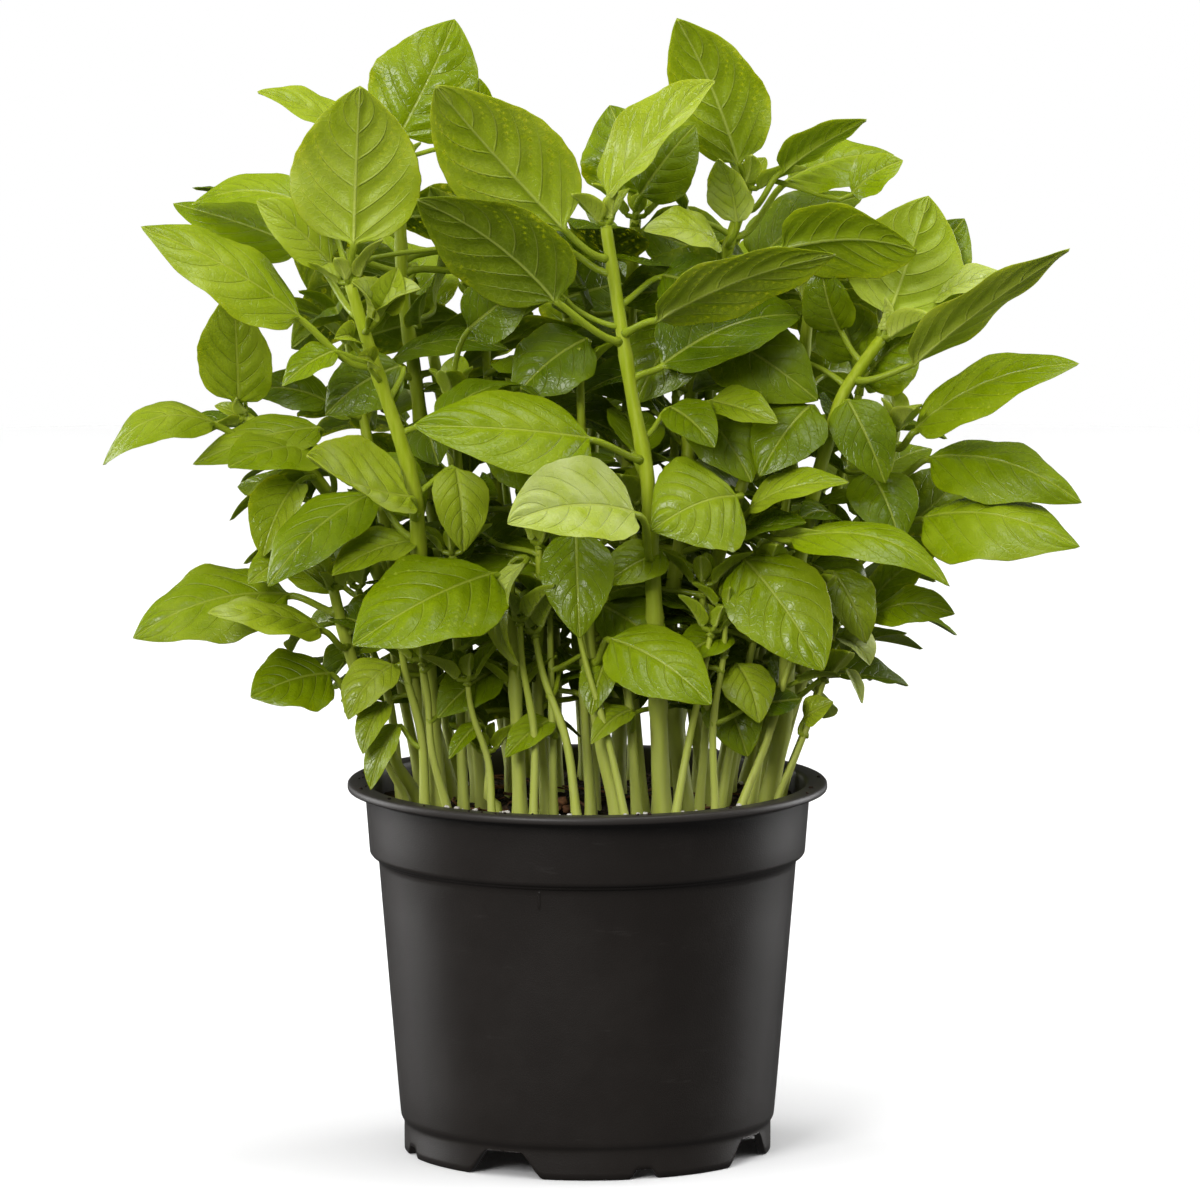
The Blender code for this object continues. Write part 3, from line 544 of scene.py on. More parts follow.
def leaf_skin(blade, habit, rows=36, columns=24, stalk_rows=9):
    """A leaf as one skin. Each ring runs across the upper side and back below. On the stalk it is a
    circle; on the blade a point lies across the middle line by its share of the outline, lifted by
    the cup, by swellings between the side veins that are a raised cosine of the vein place, and by
    a ripple towards the margin, and sunk along the midrib by a bell curve. The under side lies a
    leaf's thickness lower, with a ridge under the midrib. An ease turns the circle into the
    blade."""
    s = np.arange(rows) / rows
    t = 0.55 * s + 0.45 * (0.5 - 0.5 * np.cos(np.pi * s))
    tip = (np.vander([1.0], len(blade.middle)) @ blade.middle)[0]
    length = np.linalg.norm(tip - blade.middle[-1])
    middle = np.vander(t, len(blade.middle)) @ blade.middle
    middle = middle + blade.side * (habit.sway * length * 4 * t * (1 - t))[:, None]
    turn = (habit.twist * (t - 0.25) * ease(t / 0.3))[:, None]
    ways = unit(np.gradient(np.concatenate([middle, [tip]]), axis=0))[:-1]
    flat = unit(blade.side - ways * (ways @ blade.side)[:, None])
    sides = unit(flat * np.cos(turn) + np.cross(flat, ways) * np.sin(turn))
    normals = np.cross(sides, ways)

    stalk_length = np.linalg.norm(blade.stalk.sum(0) - blade.stalk[-1])
    root = -min(0.3, 0.0016 / stalk_length)
    share = np.linspace(root, 1.0, stalk_rows + 1)[:-1]
    line = np.vander(share, 4) @ blade.stalk
    joint = middle[0] - normals[0] * STALK_RADIUS
    line = line + (joint - blade.stalk.sum(0)) * ease(share)[:, None]
    _, back_sides, _ = carried(np.concatenate([line, middle[:1]])[::-1], sides[0])
    stalk_sides = back_sides[::-1][:-1]
    stalk_ways = unit(np.gradient(np.concatenate([line, [joint]]), axis=0))[:-1]
    stalk_normals = np.cross(stalk_sides, stalk_ways)

    u = np.linspace(-1, 1, columns - 1)
    top = np.concatenate([[-1.0], u * (0.6 + 0.385 * np.abs(u)), [1.0]])
    across = np.concatenate([top, top[-2:0:-1]])
    under = np.repeat([0.0, 1.0], [columns + 1, columns - 1])
    angle = np.pi * (1 - (across + 1) / 2) * np.where(under > 0, -1, 1)
    wheel = np.cos(angle)[None, :, None], np.sin(angle)[None, :, None]

    base_radius = STALK_RADIUS * min(1.0, 0.55 + blade.half / 0.03)
    flare = base_radius * (1 + 0.5 * np.exp(-((share - root) * stalk_length / 0.0018)))
    stalk_rings = line[:, None] + flare[:, None, None] * (
        wheel[0] * stalk_sides[:, None] + wheel[1] * stalk_normals[:, None]
    )

    reach = np.abs(across)[None]
    half = (blade.half * outline(t))[:, None]
    teeth = 1 + 0.010 * reach**8 * np.sin(2 * np.pi * 8 * t + habit.phase)[:, None]
    out = across[None] * half * teeth
    veins = vein_place(t[:, None], across[None])
    off_vein = (veins + 0.5) % 1 - 0.5
    opened = ease(reach / 0.25) * (1 - reach**3) * np.sqrt(outline(t))[:, None]
    lift = (
        blade.cup * half * reach**1.4
        + habit.pucker * blade.half * (0.5 - 0.5 * np.cos(2 * np.pi * veins)) * opened
        + habit.ripple * half * reach**3
        * np.sin(2 * np.pi * 2.3 * t[:, None] + habit.phase + 1.7 * np.sign(across)[None])
        - 0.00042 * np.exp(-((out / 0.0009) ** 2)) * np.sqrt(outline(t))[:, None]
    )
    thick = (
        LEAF_THICKNESS * (1 - 0.8 * reach**4)
        + (0.0009 * (1 - t) ** 1.3 + 0.0001)[:, None] * np.exp(-((out / 0.00085) ** 2))
        + 0.00012 * np.exp(-((off_vein / 0.09) ** 2)) * (1 - reach) * ease(reach / 0.1)
    ) * (under > 0)
    rise = (lift - thick)[..., None]
    blade_rings = middle[:, None] + sides[:, None] * out[..., None] + normals[:, None] * rise
    hub = middle - normals * base_radius
    circles = hub[:, None] + base_radius * (wheel[0] * sides[:, None] + wheel[1] * normals[:, None])
    open_up = ease(t / 0.05)[:, None, None]
    blade_rings = circles * (1 - open_up) + blade_rings * open_up

    rings = np.concatenate([stalk_rings, blade_rings])
    start = line[0] - stalk_ways[0] * base_radius * 0.3
    count = len(across)
    place = np.zeros((len(rings), count, 3))
    place[..., 0] = np.concatenate([share - 1.0, t])[:, None]
    place[..., 1] = across[None]
    place[stalk_rows:, :, 2] = out / MM
    look = np.zeros((len(rings), count, 3))
    look[..., 0] = under[None]
    look[..., 1] = habit.tone
    return loft(rings, start, tip), {
        "leaf_place": capped(place, place[0, 0], (1.0, 0.0, 0.0)),
        "leaf_look": capped(look, look[0, 0], look[-1, 0]),
    }


def rolled(blade, angle, shift):
    """The layout with its side and normal turned about the middle line, its front margin down, and
    its middle line moved forward and down by a shift in millimetres."""
    blade.middle[-1] += np.array([0.0, -0.9, -1.0]) * shift * MM
    side, normal = blade.side, blade.normal
    angle *= np.sign(side[1]) or 1.0
    blade.side = side * math.cos(angle) + normal * math.sin(angle)
    blade.normal = normal * math.cos(angle) - side * math.sin(angle)
    return blade


def planned_blade(stem, node, base, tip, width, up, bow, cup):
    """The layout of a leaf that grows from a stem's line at a height, or at its head if node is
    None. The stalk is a cubic that sets out from the stem and arrives along the blade."""
    base, tip = np.array(base, float), np.array(tip, float)
    chord = unit(tip - base)
    side = unit(np.cross(chord, np.array(up, float)))
    normal = np.cross(side, chord)
    if node is None:
        axis, radius, way = stem.points[-1], 0.0, unit(stem.points[-1] - stem.points[-3])
        out = way
    else:
        axis, radius, way = stem.at(node)
        out = base - axis
        out = unit(out - way * (out @ way))
    root = axis + out * radius
    reach = np.linalg.norm(base - root)
    leave = (out if node is None else unit(out + (0, 0, 0.35))) * reach
    arrive = unit(chord + normal * 4 * bow / np.linalg.norm(tip - base)) * reach * 0.8
    stalk = np.array([
        2 * root - 2 * base + leave + arrive,
        3 * base - 3 * root - 2 * leave - arrive,
        leave,
        root,
    ])
    middle = np.array([-4 * bow * normal, tip - base + 4 * bow * normal, base])
    return Blade(stalk, middle, side, normal, width / 2, cup)


def nearest_stem(lines, base):
    """The stem, and the height on it, that a leaf with this base grows from: the nearest point of
    any line a little below the base."""
    aim = np.array(base) - (0, 0, 0.006)
    best = None
    for name, line in lines.items():
        gaps = np.linalg.norm((line.points - aim) * (1, 1, 1.3), axis=1)
        i = int(gaps[8:].argmin()) + 8 if len(gaps) > 8 else len(gaps) - 1
        if best is None or gaps[i] < best[0]:
            best = (gaps[i], name, i)
    _, name, i = best
    line = lines[name]
    return name, None if i >= len(line.points) - 2 else float(line.points[i, 2])


def tuft_blades(line, length, turn):
    """Young leaves at a stem's head: pairs that stand opposite, each pair a quarter turn on from
    the last, shorter and steeper."""
    head, way = line.points[-1], unit(line.points[-1] - line.points[-4])
    _, sides, normals = carried(line.points[-4:], np.array([1.0, 0.2, 0.0]))
    made = []
    for pair, (size, rise) in enumerate(((1.0, 0.75), (0.62, 1.5))):
        for half_turn in (0, 1):
            angle = turn + math.pi * (half_turn + pair / 2)
            out = math.cos(angle) * sides[-1] + math.sin(angle) * normals[-1]
            base = head + out * 0.0022 * size + way * 0.002
            tip = base + unit(out + way * rise) * length * size
            up, width = way - out * rise, length * size * 0.6
            made.append(planned_blade(line, None, base, tip, width, up, length * 0.07, 0.35))
    return made


class Space:
    """What stands where already, so that filling leaves keep clear of it."""

    def __init__(self):
        self.trees = []

    @staticmethod
    def tree(skin):
        """A skin's faces in a search tree."""
        points, quads, fans = skin
        return BVHTree.FromPolygons(points.tolist(), [*quads.tolist(), *fans.tolist()])

    def take(self, skin):
        """Adds a skin to what stands."""
        self.trees.append(self.tree(skin))

    def crossings(self, skin):
        """How many pairs of faces this skin would cross."""
        tree = self.tree(skin)
        return sum(len(tree.overlap(other)) for other in self.trees)


def coarse(blade, habit):
    """A leaf's skin with few faces, for tests of room."""
    return leaf_skin(blade, habit, rows=8, columns=6, stalk_rows=2)[0]


# Materials


class Value:
    """A shader socket in Python arithmetic: each operation adds a Math node."""

    def __init__(self, finish, socket):
        self.finish, self.socket = finish, socket

    def math(self, operation, *terms):
        return self.finish.node("ShaderNodeMath", {"operation": operation}, dict(enumerate(terms)))

    def __add__(self, other):
        return self.math("ADD", self, other)

    __radd__ = __add__

    def __sub__(self, other):
        return self.math("SUBTRACT", self, other)

    def __rsub__(self, other):
        return self.math("SUBTRACT", other, self)

    def __mul__(self, other):
        return self.math("MULTIPLY", self, other)

    __rmul__ = __mul__

    def __truediv__(self, other):
        return self.math("DIVIDE", self, other)

    def __pow__(self, other):
        return self.math("POWER", self, other)

    def __abs__(self):
        return self.math("ABSOLUTE", self)

    def within(self, low, high):
        """0 at low, 1 at high, and a smooth step between."""
        settings = {"interpolation_type": "SMOOTHSTEP"}
        sockets = {"Value": self, "From Min": low, "From Max": high}
        return self.finish.node("ShaderNodeMapRange", settings, sockets)

    def clear(self):
        """Kept from 0 to 1."""
        return self.finish.node("ShaderNodeClamp", {}, {"Value": self})


class Finish:
    """A material while it is made: constants go on its shader, and node() adds what varies."""

    def __init__(self, name, **constants):
        self.material = bpy.data.materials.new(name)
        self.material.use_nodes = True
        self.tree = self.material.node_tree
        self.shader = self.tree.nodes["Principled BSDF"]
        for socket, value in constants.items():
            self.shader.inputs[socket.replace("_", " ")].default_value = value

    def node(self, kind, settings=None, sockets=None, output=0):
        """A node of this type: its settings first, then values or links on its sockets."""
        made = self.tree.nodes.new(kind)
        for name, value in (settings or {}).items():
            if name == "stops":
                ramp = made.color_ramp
                while len(ramp.elements) < len(value):
                    ramp.elements.new(0.5)
                for element, (position, colour) in zip(ramp.elements, value):
                    element.position, element.color = position, (*colour, 1.0)
            else:
                setattr(made, name, value)
        for name, value in (sockets or {}).items():
            self.link(made.inputs[name], value)
        return Value(self, made.outputs[output])

    def link(self, socket, value):
        if isinstance(value, Value):
            self.tree.links.new(value.socket, socket)
        elif socket.type == "RGBA" and len(value) == 3:
            socket.default_value = (*value, 1.0)
        else:
            socket.default_value = value

    def feed(self, socket, value):
        """Links a value to the shader."""
        self.link(self.shader.inputs[socket], value)

    def mix(self, share, first, second, blend="MIX"):
        """The first colour at share 0 and the second at 1."""
        settings = {"data_type": "RGBA", "blend_type": blend}
        return self.node("ShaderNodeMix", settings, {0: share, 6: first, 7: second}, output=2)

    def ramp(self, share, *stops):
        """A colour ramp: each stop is a place and a colour."""
        return self.node("ShaderNodeValToRGB", {"stops": stops}, {"Fac": share})

    def attribute(self, name):
        """A point vector of the piece's own."""
        return self.node("ShaderNodeAttribute", {"attribute_name": name}, output="Vector")

    def parts(self, vector):
        """A vector's three numbers."""
        first = self.node("ShaderNodeSeparateXYZ", {}, {0: vector})
        outputs = first.socket.node.outputs
        return [Value(self, outputs[i]) for i in range(3)]

    def place(self, stretch=(1.0, 1.0, 1.0)):
        """Object coordinates, stretched along each axis."""
        spot = self.node("ShaderNodeTexCoord", output="Object")
        return self.node("ShaderNodeMapping", {}, {"Vector": spot, "Scale": stretch})

    def noise(self, spot, scale, detail=2.0, roughness=0.5):
        """Smooth noise from 0 to 1."""
        sockets = {"Vector": spot, "Scale": scale, "Detail": detail, "Roughness": roughness}
        return self.node("ShaderNodeTexNoise", {}, sockets)

    def cells(self, spot, scale, feature="F1", output=0):
        """Distance in a pattern of cells."""
        sockets = {"Vector": spot, "Scale": scale}
        return self.node("ShaderNodeTexVoronoi", {"feature": feature}, sockets, output=output)

    def bump(self, height, distance, strength=1.0):
        """Feeds Normal from a height."""
        sockets = {"Height": height, "Distance": distance, "Strength": strength}
        self.feed("Normal", self.node("ShaderNodeBump", {}, sockets))


def leaf_finish(looks):
    """Basil leaf: yellow-green above with a fine pale midrib and side veins, a net of small veins,
    broad gloss and mottling; paler, duller and with raised veins below; the stalk pale."""
    made = Finish("basil_leaf", Subsurface_Weight=looks.depth, Subsurface_Scale=0.001,
                  Subsurface_Radius=(1.0, 1.0, 0.1), Specular_IOR_Level=0.42)
    along, across, distance = made.parts(made.attribute("leaf_place"))
    under, tone, _ = made.parts(made.attribute("leaf_look"))
    reach = abs(across)
    veins = (along - VEIN_START - VEIN_LEAN * reach * (1 + VEIN_BEND * reach)) / VEIN_PITCH
    off_vein = abs(veins - veins.math("ROUND", veins))
    side_vein = (1 - off_vein.within(0.0, 0.065)) * (1 - reach.within(0.5, 0.95)) \
        * reach.within(0.0, 0.1)
    midrib = 1 - (abs(distance) / (0.34 + 0.35 * (1 - along))).within(0.35, 1.0)
    blade = along.within(0.0, 0.03)
    spot = made.place()
    mottle = made.noise(spot, 110.0, 3.0, 0.6)
    wash = made.noise(spot, 30.0, 1.0)
    net = 1 - made.cells(spot, 620.0, "DISTANCE_TO_EDGE").within(0.0, 0.12)

    # Each leaf's tone sets its place on the colour ramps, with mottle and wash. The tone holds
    # painted shade for the leaves deep in the crown and painted light for the top-centre leaves.
    depth = (tone * 0.42 + 0.5 + (mottle - 0.5) * 0.45 + (wash - 0.5) * 0.5).clear()
    upper = made.ramp(
        depth, (0.0, looks.dark), (0.45, looks.upper), (0.8, looks.pale), (1.0, looks.bright))
    upper = made.mix(side_vein * 0.22, upper, looks.vein)
    upper = made.mix(midrib * 0.5, upper, looks.vein)
    lower = made.ramp(
        depth, (0.0, looks.lower_dark), (0.5, looks.lower), (1.0, looks.lower_pale))
    lower = made.mix(side_vein * 0.4, lower, looks.lower_vein)
    lower = made.mix(net * 0.10, lower, looks.lower_vein)
    lower = made.mix(midrib * 0.7, lower, looks.lower_vein)
    surface = made.mix(under, upper, lower)
    stalk = made.mix((mottle * 0.8).clear(), looks.stalk, looks.lower)
    made.feed("Base Color", made.mix(blade, stalk, surface))
    made.feed("Roughness", 0.28 + under * 0.16 + (wash - 0.5) * 0.16 + (mottle - 0.5) * 0.12
              + side_vein * 0.1)
    raised = under * 2 - 1
    height = raised * (side_vein * 0.9 + midrib * 0.7) + net * raised * 0.14 + mottle \
        + made.noise(spot, 900.0, 2.0) * 0.10
    made.bump(height, 0.0004, 0.7)
    return made.material


def stem_finish(looks):
    """Basil stem: pale yellow-green, whiter towards the soil, streaked along its length, with soft
    darker flecks and a fine down that dulls it."""
    made = Finish("basil_stem", Subsurface_Weight=looks.depth, Subsurface_Scale=0.0015,
                  Subsurface_Radius=(0.8, 1.0, 0.3), Specular_IOR_Level=0.3)
    spot = made.place()
    _, _, height = made.parts(spot)
    streak = made.noise(made.place((700.0, 700.0, 40.0)), 1.0, 3.0, 0.6)
    fleck = made.noise(made.place((300.0, 300.0, 90.0)), 1.0, 2.0)
    colour = made.mix(height.within(0.096, 0.17), looks.foot, looks.stem)
    colour = made.mix(streak.within(0.35, 0.75) * 0.55, colour, looks.streak)
    flecked = fleck.within(0.62, 0.8) * 0.35 * (1 - height.within(0.1, 0.15))
    colour = made.mix(flecked, colour, looks.brown)
    made.feed("Base Color", colour)
    made.feed("Roughness", 0.42 + streak * 0.2)
    made.bump(streak * 0.6 + fleck * 0.4, 0.0003, 0.7)
    return made.material


def pot_finish(looks):
    """Moulded plastic: one dark tone with a faint grain, a duller veil of dust in patches, lighter
    scuffs, a painted highlight as a lighter band round the top of the rim, and a short mould mark
    under the step."""
    made = Finish("pot_plastic", Specular_IOR_Level=0.5)
    spot = made.place()
    east, north, height = made.parts(spot)
    grain = made.noise(spot, 2400.0, 2.0)
    mark = (1 - abs(east + 0.0128).within(0.0, 0.0006)) * height.within(0.0740, 0.0755) \
        * (1 - height.within(0.0788, 0.0795)) * (1 - north.within(-0.03, -0.02))
    cloud = made.noise(spot, 30.0, 4.0, 0.65)
    scuff = made.noise(made.place((60.0, 60.0, 420.0)), 1.0, 3.0, 0.7).within(0.62, 0.8)
    # A band round the top of the rim, lightened below as a painted highlight.
    rim = height.within(0.0955, 0.1)
    colour = made.mix((cloud.within(0.35, 0.75) * 0.6).clear(), looks.colour, looks.dust)
    # Scuffs are lighter wear; the rim band mixed in here is painted highlight.
    colour = made.mix((scuff * 0.3 + rim * 0.3).clear(), colour, looks.rubbed_and_highlight)
    made.feed("Base Color", colour)
    made.feed("Roughness", 0.33 + cloud * 0.16 + scuff * 0.08 + rim * 0.06)
    made.bump(grain * 0.3 + cloud * 0.2 + mark * 2.0, 0.0002, 0.6)
    return made.material


def soil_finish(looks):
    """Peat: near black to brown grains with lighter bits of bark, rough all over."""
    made = Finish("potting_mix", Specular_IOR_Level=0.3)
    spot = made.place()
    grain = made.cells(spot, 520.0, "F1", output="Color")
    _, shade, bark = made.parts(grain)
    lump = made.noise(spot, 160.0, 4.0, 0.7)
    colour = made.mix((shade * 0.7 + lump * 0.5 - 0.2).clear(), looks.dark, looks.brown)
    colour = made.mix(bark.within(0.82, 0.96) * 0.6, colour, looks.bark)
    made.feed("Base Color", colour)
    made.feed("Roughness", 0.88 + shade * 0.12)
    made.bump(made.cells(spot, 520.0) * 0.7 + lump * 1.2, 0.0009, 1.0)
    return made.material


def grain_finish(name, pale, deep, scale):
    """A crumb, fibre or perlite grain: two tones blended by noise, matt."""
    made = Finish(name, Specular_IOR_Level=0.3)
    tone = made.noise(made.place(), scale, 3.0, 0.6)
    made.feed("Base Color", made.mix(tone.within(0.3, 0.7), deep, pale))
    made.feed("Roughness", 0.8 + tone * 0.2)
    made.bump(tone, 0.0004, 0.8)
    return made.material


def backdrop_finish(colour):
    """A plain pale sweep, matt."""
    made = Finish("pale_sweep")
    shade = made.noise(made.place(), 0.5, 1.0)
    made.feed("Base Color", made.mix(shade, colour, tuple(part * 0.985 for part in colour)))
    made.feed("Roughness", 0.85 + shade * 0.05)
    return made.material


# Settings


def colour_property(name, description, default):
    """A colour that a user may change."""
    return FloatVectorProperty(name=name, description=description, default=default, size=3,
                               subtype="COLOR", min=0.0, max=1.0)


def share_property(name, description, default):
    """A share from 0 to 1."""
    return FloatProperty(name=name, description=description, default=default, min=0.0, max=1.0,
                         subtype="FACTOR")


def length_property(name, description, default, low=0.03):
    """A length in metres."""
    return FloatProperty(name=name, description=description, default=default, min=low,
                         unit="LENGTH")


def count_property(name, description, default, low=0, high=900):
    """A whole number."""
    return IntProperty(name=name, description=description, default=default, min=low, max=high)


class LeafLooks(bpy.types.PropertyGroup):
    """Colours of the leaves."""

    upper: colour_property("Upper side", "A leaf's upper side", (0.195, 0.275, 0.001))
    # Pale also serves as painted light on the top-centre leaves, whose tone is set high.
    pale: colour_property("Pale", "Young leaves and bright patches", (0.33, 0.415, 0.020))
    bright: colour_property("Bright", "The palest young leaves", (0.46, 0.53, 0.17))
    # Dark also serves as painted shade on the leaves deep in the crown, whose tone is set low.
    dark: colour_property("Dark", "Old leaves and deep patches", (0.064, 0.112, 0.0005))
    vein: colour_property("Veins", "Midrib and side veins from above", (0.40, 0.46, 0.06))
    lower: colour_property("Under side", "A leaf's under side", (0.30, 0.40, 0.005))
    lower_pale: colour_property("Pale, below", "Under side of young leaves", (0.46, 0.54, 0.07))
    # Dark, below, also serves as painted shade on the under sides of the leaves deep in the crown.
    lower_dark: colour_property("Dark, below", "Deep patches below", (0.10, 0.155, 0.0015))
    lower_vein: colour_property("Veins below", "Raised veins of the under side", (0.50, 0.58, 0.11))
    stalk: colour_property("Stalk", "A leaf's stalk", (0.32, 0.40, 0.03))
    depth: share_property("Depth", "Share of light scattered inside the leaf", 0.25)


class StemLooks(bpy.types.PropertyGroup):
    """Colours of the stems."""

    stem: colour_property("Stem", "Upper part of a stem", (0.34, 0.43, 0.008))
    foot: colour_property("Foot", "A stem near the soil", (0.50, 0.55, 0.12))
    streak: colour_property("Streaks", "Lighter lines along a stem", (0.50, 0.57, 0.06))
    brown: colour_property("Flecks", "Brown flecks near the soil", (0.20, 0.12, 0.04))
    depth: share_property("Depth", "Share of light scattered inside the stem", 0.15)


class PotLooks(bpy.types.PropertyGroup):
    """Colours and size of the pot."""

    rim_radius: length_property("Rim radius", "Outer radius of the rim", float(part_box("pot")[1].x))
    steps: count_property("Steps", "Faces round the pot", 540, 72, 720)
    colour: colour_property("Plastic", "The pot's own tone", (0.0185, 0.0150, 0.0128))
    dust: colour_property("Dust", "Dull veil on the plastic", (0.028, 0.0235, 0.0205))
    # Lighter scuffs, and the painted highlight round the top of the rim.
    rubbed_and_highlight: colour_property("Rubbed", "Lighter rubbed marks", (0.060, 0.054, 0.049))


class SoilLooks(bpy.types.PropertyGroup):
    """Colours and grains of the soil."""

    dark: colour_property("Dark", "Moist peat", (0.008, 0.005, 0.0035))
    brown: colour_property("Brown", "Dry peat", (0.040, 0.022, 0.012))
    bark: colour_property("Bark", "Bits of bark", (0.13, 0.075, 0.038))
    perlite: colour_property("Perlite", "White grains", (0.62, 0.60, 0.55))
    crumbs: count_property("Crumbs", "Loose lumps on the soil", 420)
    grains: count_property("Perlite grains", "White grains on the soil", 34)


class StageLooks(bpy.types.PropertyGroup):
    """Floor, light and camera."""

    sweep: colour_property("Floor", "The pale floor", (0.93, 0.93, 0.93))
    surround: share_property("Surround", "Strength of the light from all round", 0.13)
    mirrored: share_property("Mirrored", "Its strength in reflections", 0.08)
    elevation: FloatProperty(name="Elevation", description="The camera's height angle",
                             default=math.radians(8), subtype="ANGLE")
    distance: length_property("Distance", "From the camera to the plant", 3.0, 0.5)
    width: length_property("View width", "Width of the view at the plant", 0.3244)


# Pieces


def pot_section():
    """The pot's section as (radius, height) in millimetres, from the middle of the floor up the
    inside, over the rim and down the outside to the skirt, with every edge rounded by points."""
    return np.array([
        (12.0, 8.2), (24.0, 8.2), (36.0, 8.2), (46.0, 8.2), (48.3, 8.25), (49.1, 8.6),
        (49.5, 9.2), (50.6, 21.0), (51.8, 36.0), (53.0, 51.0), (54.2, 66.0), (55.4, 78.4),
        (55.9, 79.2), (57.2, 79.9), (57.9, 80.6), (58.1, 82.0), (58.6, 91.0), (59.05, 99.0),
        (59.2, 100.1), (59.6, 100.6), (60.2, 100.78), (62.5, 100.8), (64.0, 100.78),
        (64.6, 100.6), (64.93, 100.2), (65.0, 99.7), (65.0, 99.1), (64.85, 98.75), (64.5, 98.6),
        (62.8, 98.6), (61.4, 98.55), (60.7, 98.3), (60.3, 97.8), (60.18, 97.0), (59.8, 92.0),
        (59.4, 87.0), (59.05, 82.2), (58.95, 81.6), (58.6, 81.1), (58.0, 80.7), (57.3, 80.3),
        (56.9, 79.8), (56.65, 79.0), (56.5, 78.0), (55.6, 67.0), (54.6, 55.0), (53.6, 43.0),
        (52.5, 30.0), (51.4, 17.0), (50.8, 10.4), (50.65, 9.4), (50.4, 8.8), (50.0, 8.3),
        (49.85, 7.8), (49.8, 7.2),
    ])


def foot_depth(angles):
    """How far the skirt is cut back at each angle, in millimetres: each notch is a trapezium, and
    shallow and deep ones follow in turn."""
    depth = np.zeros_like(angles)
    for place in range(FEET):
        high, top, bottom = NOTCHES[place % 2]
        off = np.abs((angles - FIRST_NOTCH - place * 360.0 / FEET + 180.0) % 360.0 - 180.0)
        depth = np.maximum(depth, high * ease((bottom / 2 - off) * 2 / (bottom - top)))
    return depth


def pot_skin(looks):
    """The pot: its section carried once round the axis, where the skirt's lower edge rises by the
    notch depth at each angle."""
    section = pot_section()
    section[:, 0] *= looks.rim_radius / MM / RIM_RADIUS_MM
    turns = np.arange(looks.steps) * 360.0 / looks.steps
    depth = foot_depth(turns)

    def ring(radius, heights):
        return np.stack([np.full(looks.steps, radius), np.broadcast_to(heights, looks.steps)], -1)

    # The skirt's rings: radius, height above the foot, and share of the way up to the floor
    skirt = [
        (49.8, 0.25, 0.75), (49.8, 0.25, 0.25), (49.75, 0.08, 0.0), (49.5, 0.0, 0.0),
        (48.1, 0.0, 0.0), (47.85, 0.08, 0.0), (47.8, 0.25, 0.25), (47.8, 0.25, 0.75),
    ]
    rows = [ring(radius, height) for radius, height in section]
    for radius, gap, share in skirt:
        low = depth + gap
        rows.append(ring(radius, low + (FLOOR_LOW_MM - 0.01 - low) * share))
    rows += [ring(radius, FLOOR_LOW_MM) for radius in (47.6, 42.0, 30.0, 14.0)]
    radii, heights = np.moveaxis(np.array(rows) * MM, -1, 0)
    solid = round_axis(radii, np.radians(turns - 90.0), heights)
    return loft(solid, (0.0, 0.0, FLOOR_TOP_MM * MM), (0.0, 0.0, FLOOR_LOW_MM * MM))


def drain_cutter(angle):
    """A round bar through the floor at this angle."""
    middle = np.array([math.cos(angle), math.sin(angle), 0]) * DRAIN_REACH_MM * MM
    path = middle + np.array([(0, 0, z) for z in (4.0, 6.0, 9.0, 11.0)]) * MM
    return tube(path, np.full(4, DRAIN_RADIUS_MM * MM), 24)


def plain_object(name, skin):
    """An object with this skin and nothing else, for a cutter."""
    mesh = bpy.data.meshes.new(name)
    points, quads, fans = skin
    mesh.from_pydata(points.tolist(), [], [*quads.tolist(), *fans.tolist()])
    made = bpy.data.objects.new(name, mesh)
    bpy.context.scene.collection.objects.link(made)
    return made


def soil_height(points):
    """The soil's surface at (x, y): a low crown, with lumps of three sizes."""
    radius = np.linalg.norm(points[..., :2], axis=-1)
    crown = 0.0951 - 0.0015 * (radius / 0.058) ** 2
    flat = np.concatenate([points[..., :2], np.zeros((*points.shape[:-1], 1))], -1)
    return (crown + 0.0011 * value_noise(flat, 0.011, 3) + 0.0008 * value_noise(flat, 0.0042, 5)
            + 0.0005 * value_noise(flat, 0.0019, 7))


def soil_skin():
    """The soil: rings out to the wall that follow the lumpy surface, then down the side."""
    steps = 200
    radii = np.concatenate([np.linspace(0.0015, 0.0582, 44), [0.0586, 0.0588]])
    angles = np.pi - np.arange(steps) * 2 * np.pi / steps
    circle = round_axis(1.0, angles)
    flat = radii[:, None, None] * circle
    flat[..., 2] = soil_height(flat)
    flat[-1, :, 2] -= 0.0008
    side = [circle * r + (0, 0, z)
            for r, z in ((0.0572, 0.0812), (0.0552, 0.0792), (0.0492, 0.0096), (0.0480, 0.0086))]
    rings = np.concatenate([flat, side])[:, ::-1]
    return loft(rings, (0.0, 0.0, 0.0952), (0.0, 0.0, 0.0086))


def lumps(random, centres, sizes, squash):
    """Small rough lumps: each is a ball of 26 points whose radius varies at random."""
    polar = np.radians([36.0, 72.0, 108.0, 144.0])[:, None]
    around = np.pi - np.arange(6) * np.pi / 3
    ring = np.stack([np.sin(polar) * np.cos(around), np.sin(polar) * np.sin(around),
                     np.repeat(np.cos(polar), 6, 1)], -1)[:, ::-1]
    for centre, size in zip(centres, sizes):
        rough = ring * random.uniform(0.72, 1.2, (4, 6, 1)) * size
        rough = rough * (1, random.uniform(0.6, 1), squash)
        turn = random.uniform(0, 2 * math.pi)
        cos, sin = math.cos(turn), math.sin(turn)
        rough = rough @ np.array([[cos, -sin, 0], [sin, cos, 0], [0, 0, 1]]).T
        up = np.array([0, 0, size * squash * 0.9])
        yield loft(rough + centre, centre + up, centre - up)


def scattered(random, count, radius):
    """Points on the soil's surface, spread evenly over a disc."""
    reach = radius * np.sqrt(random.uniform(0, 1, count))
    angle = random.uniform(0, 2 * np.pi, count)
    spots = round_axis(reach, angle)
    spots[:, 2] = soil_height(spots)
    return spots


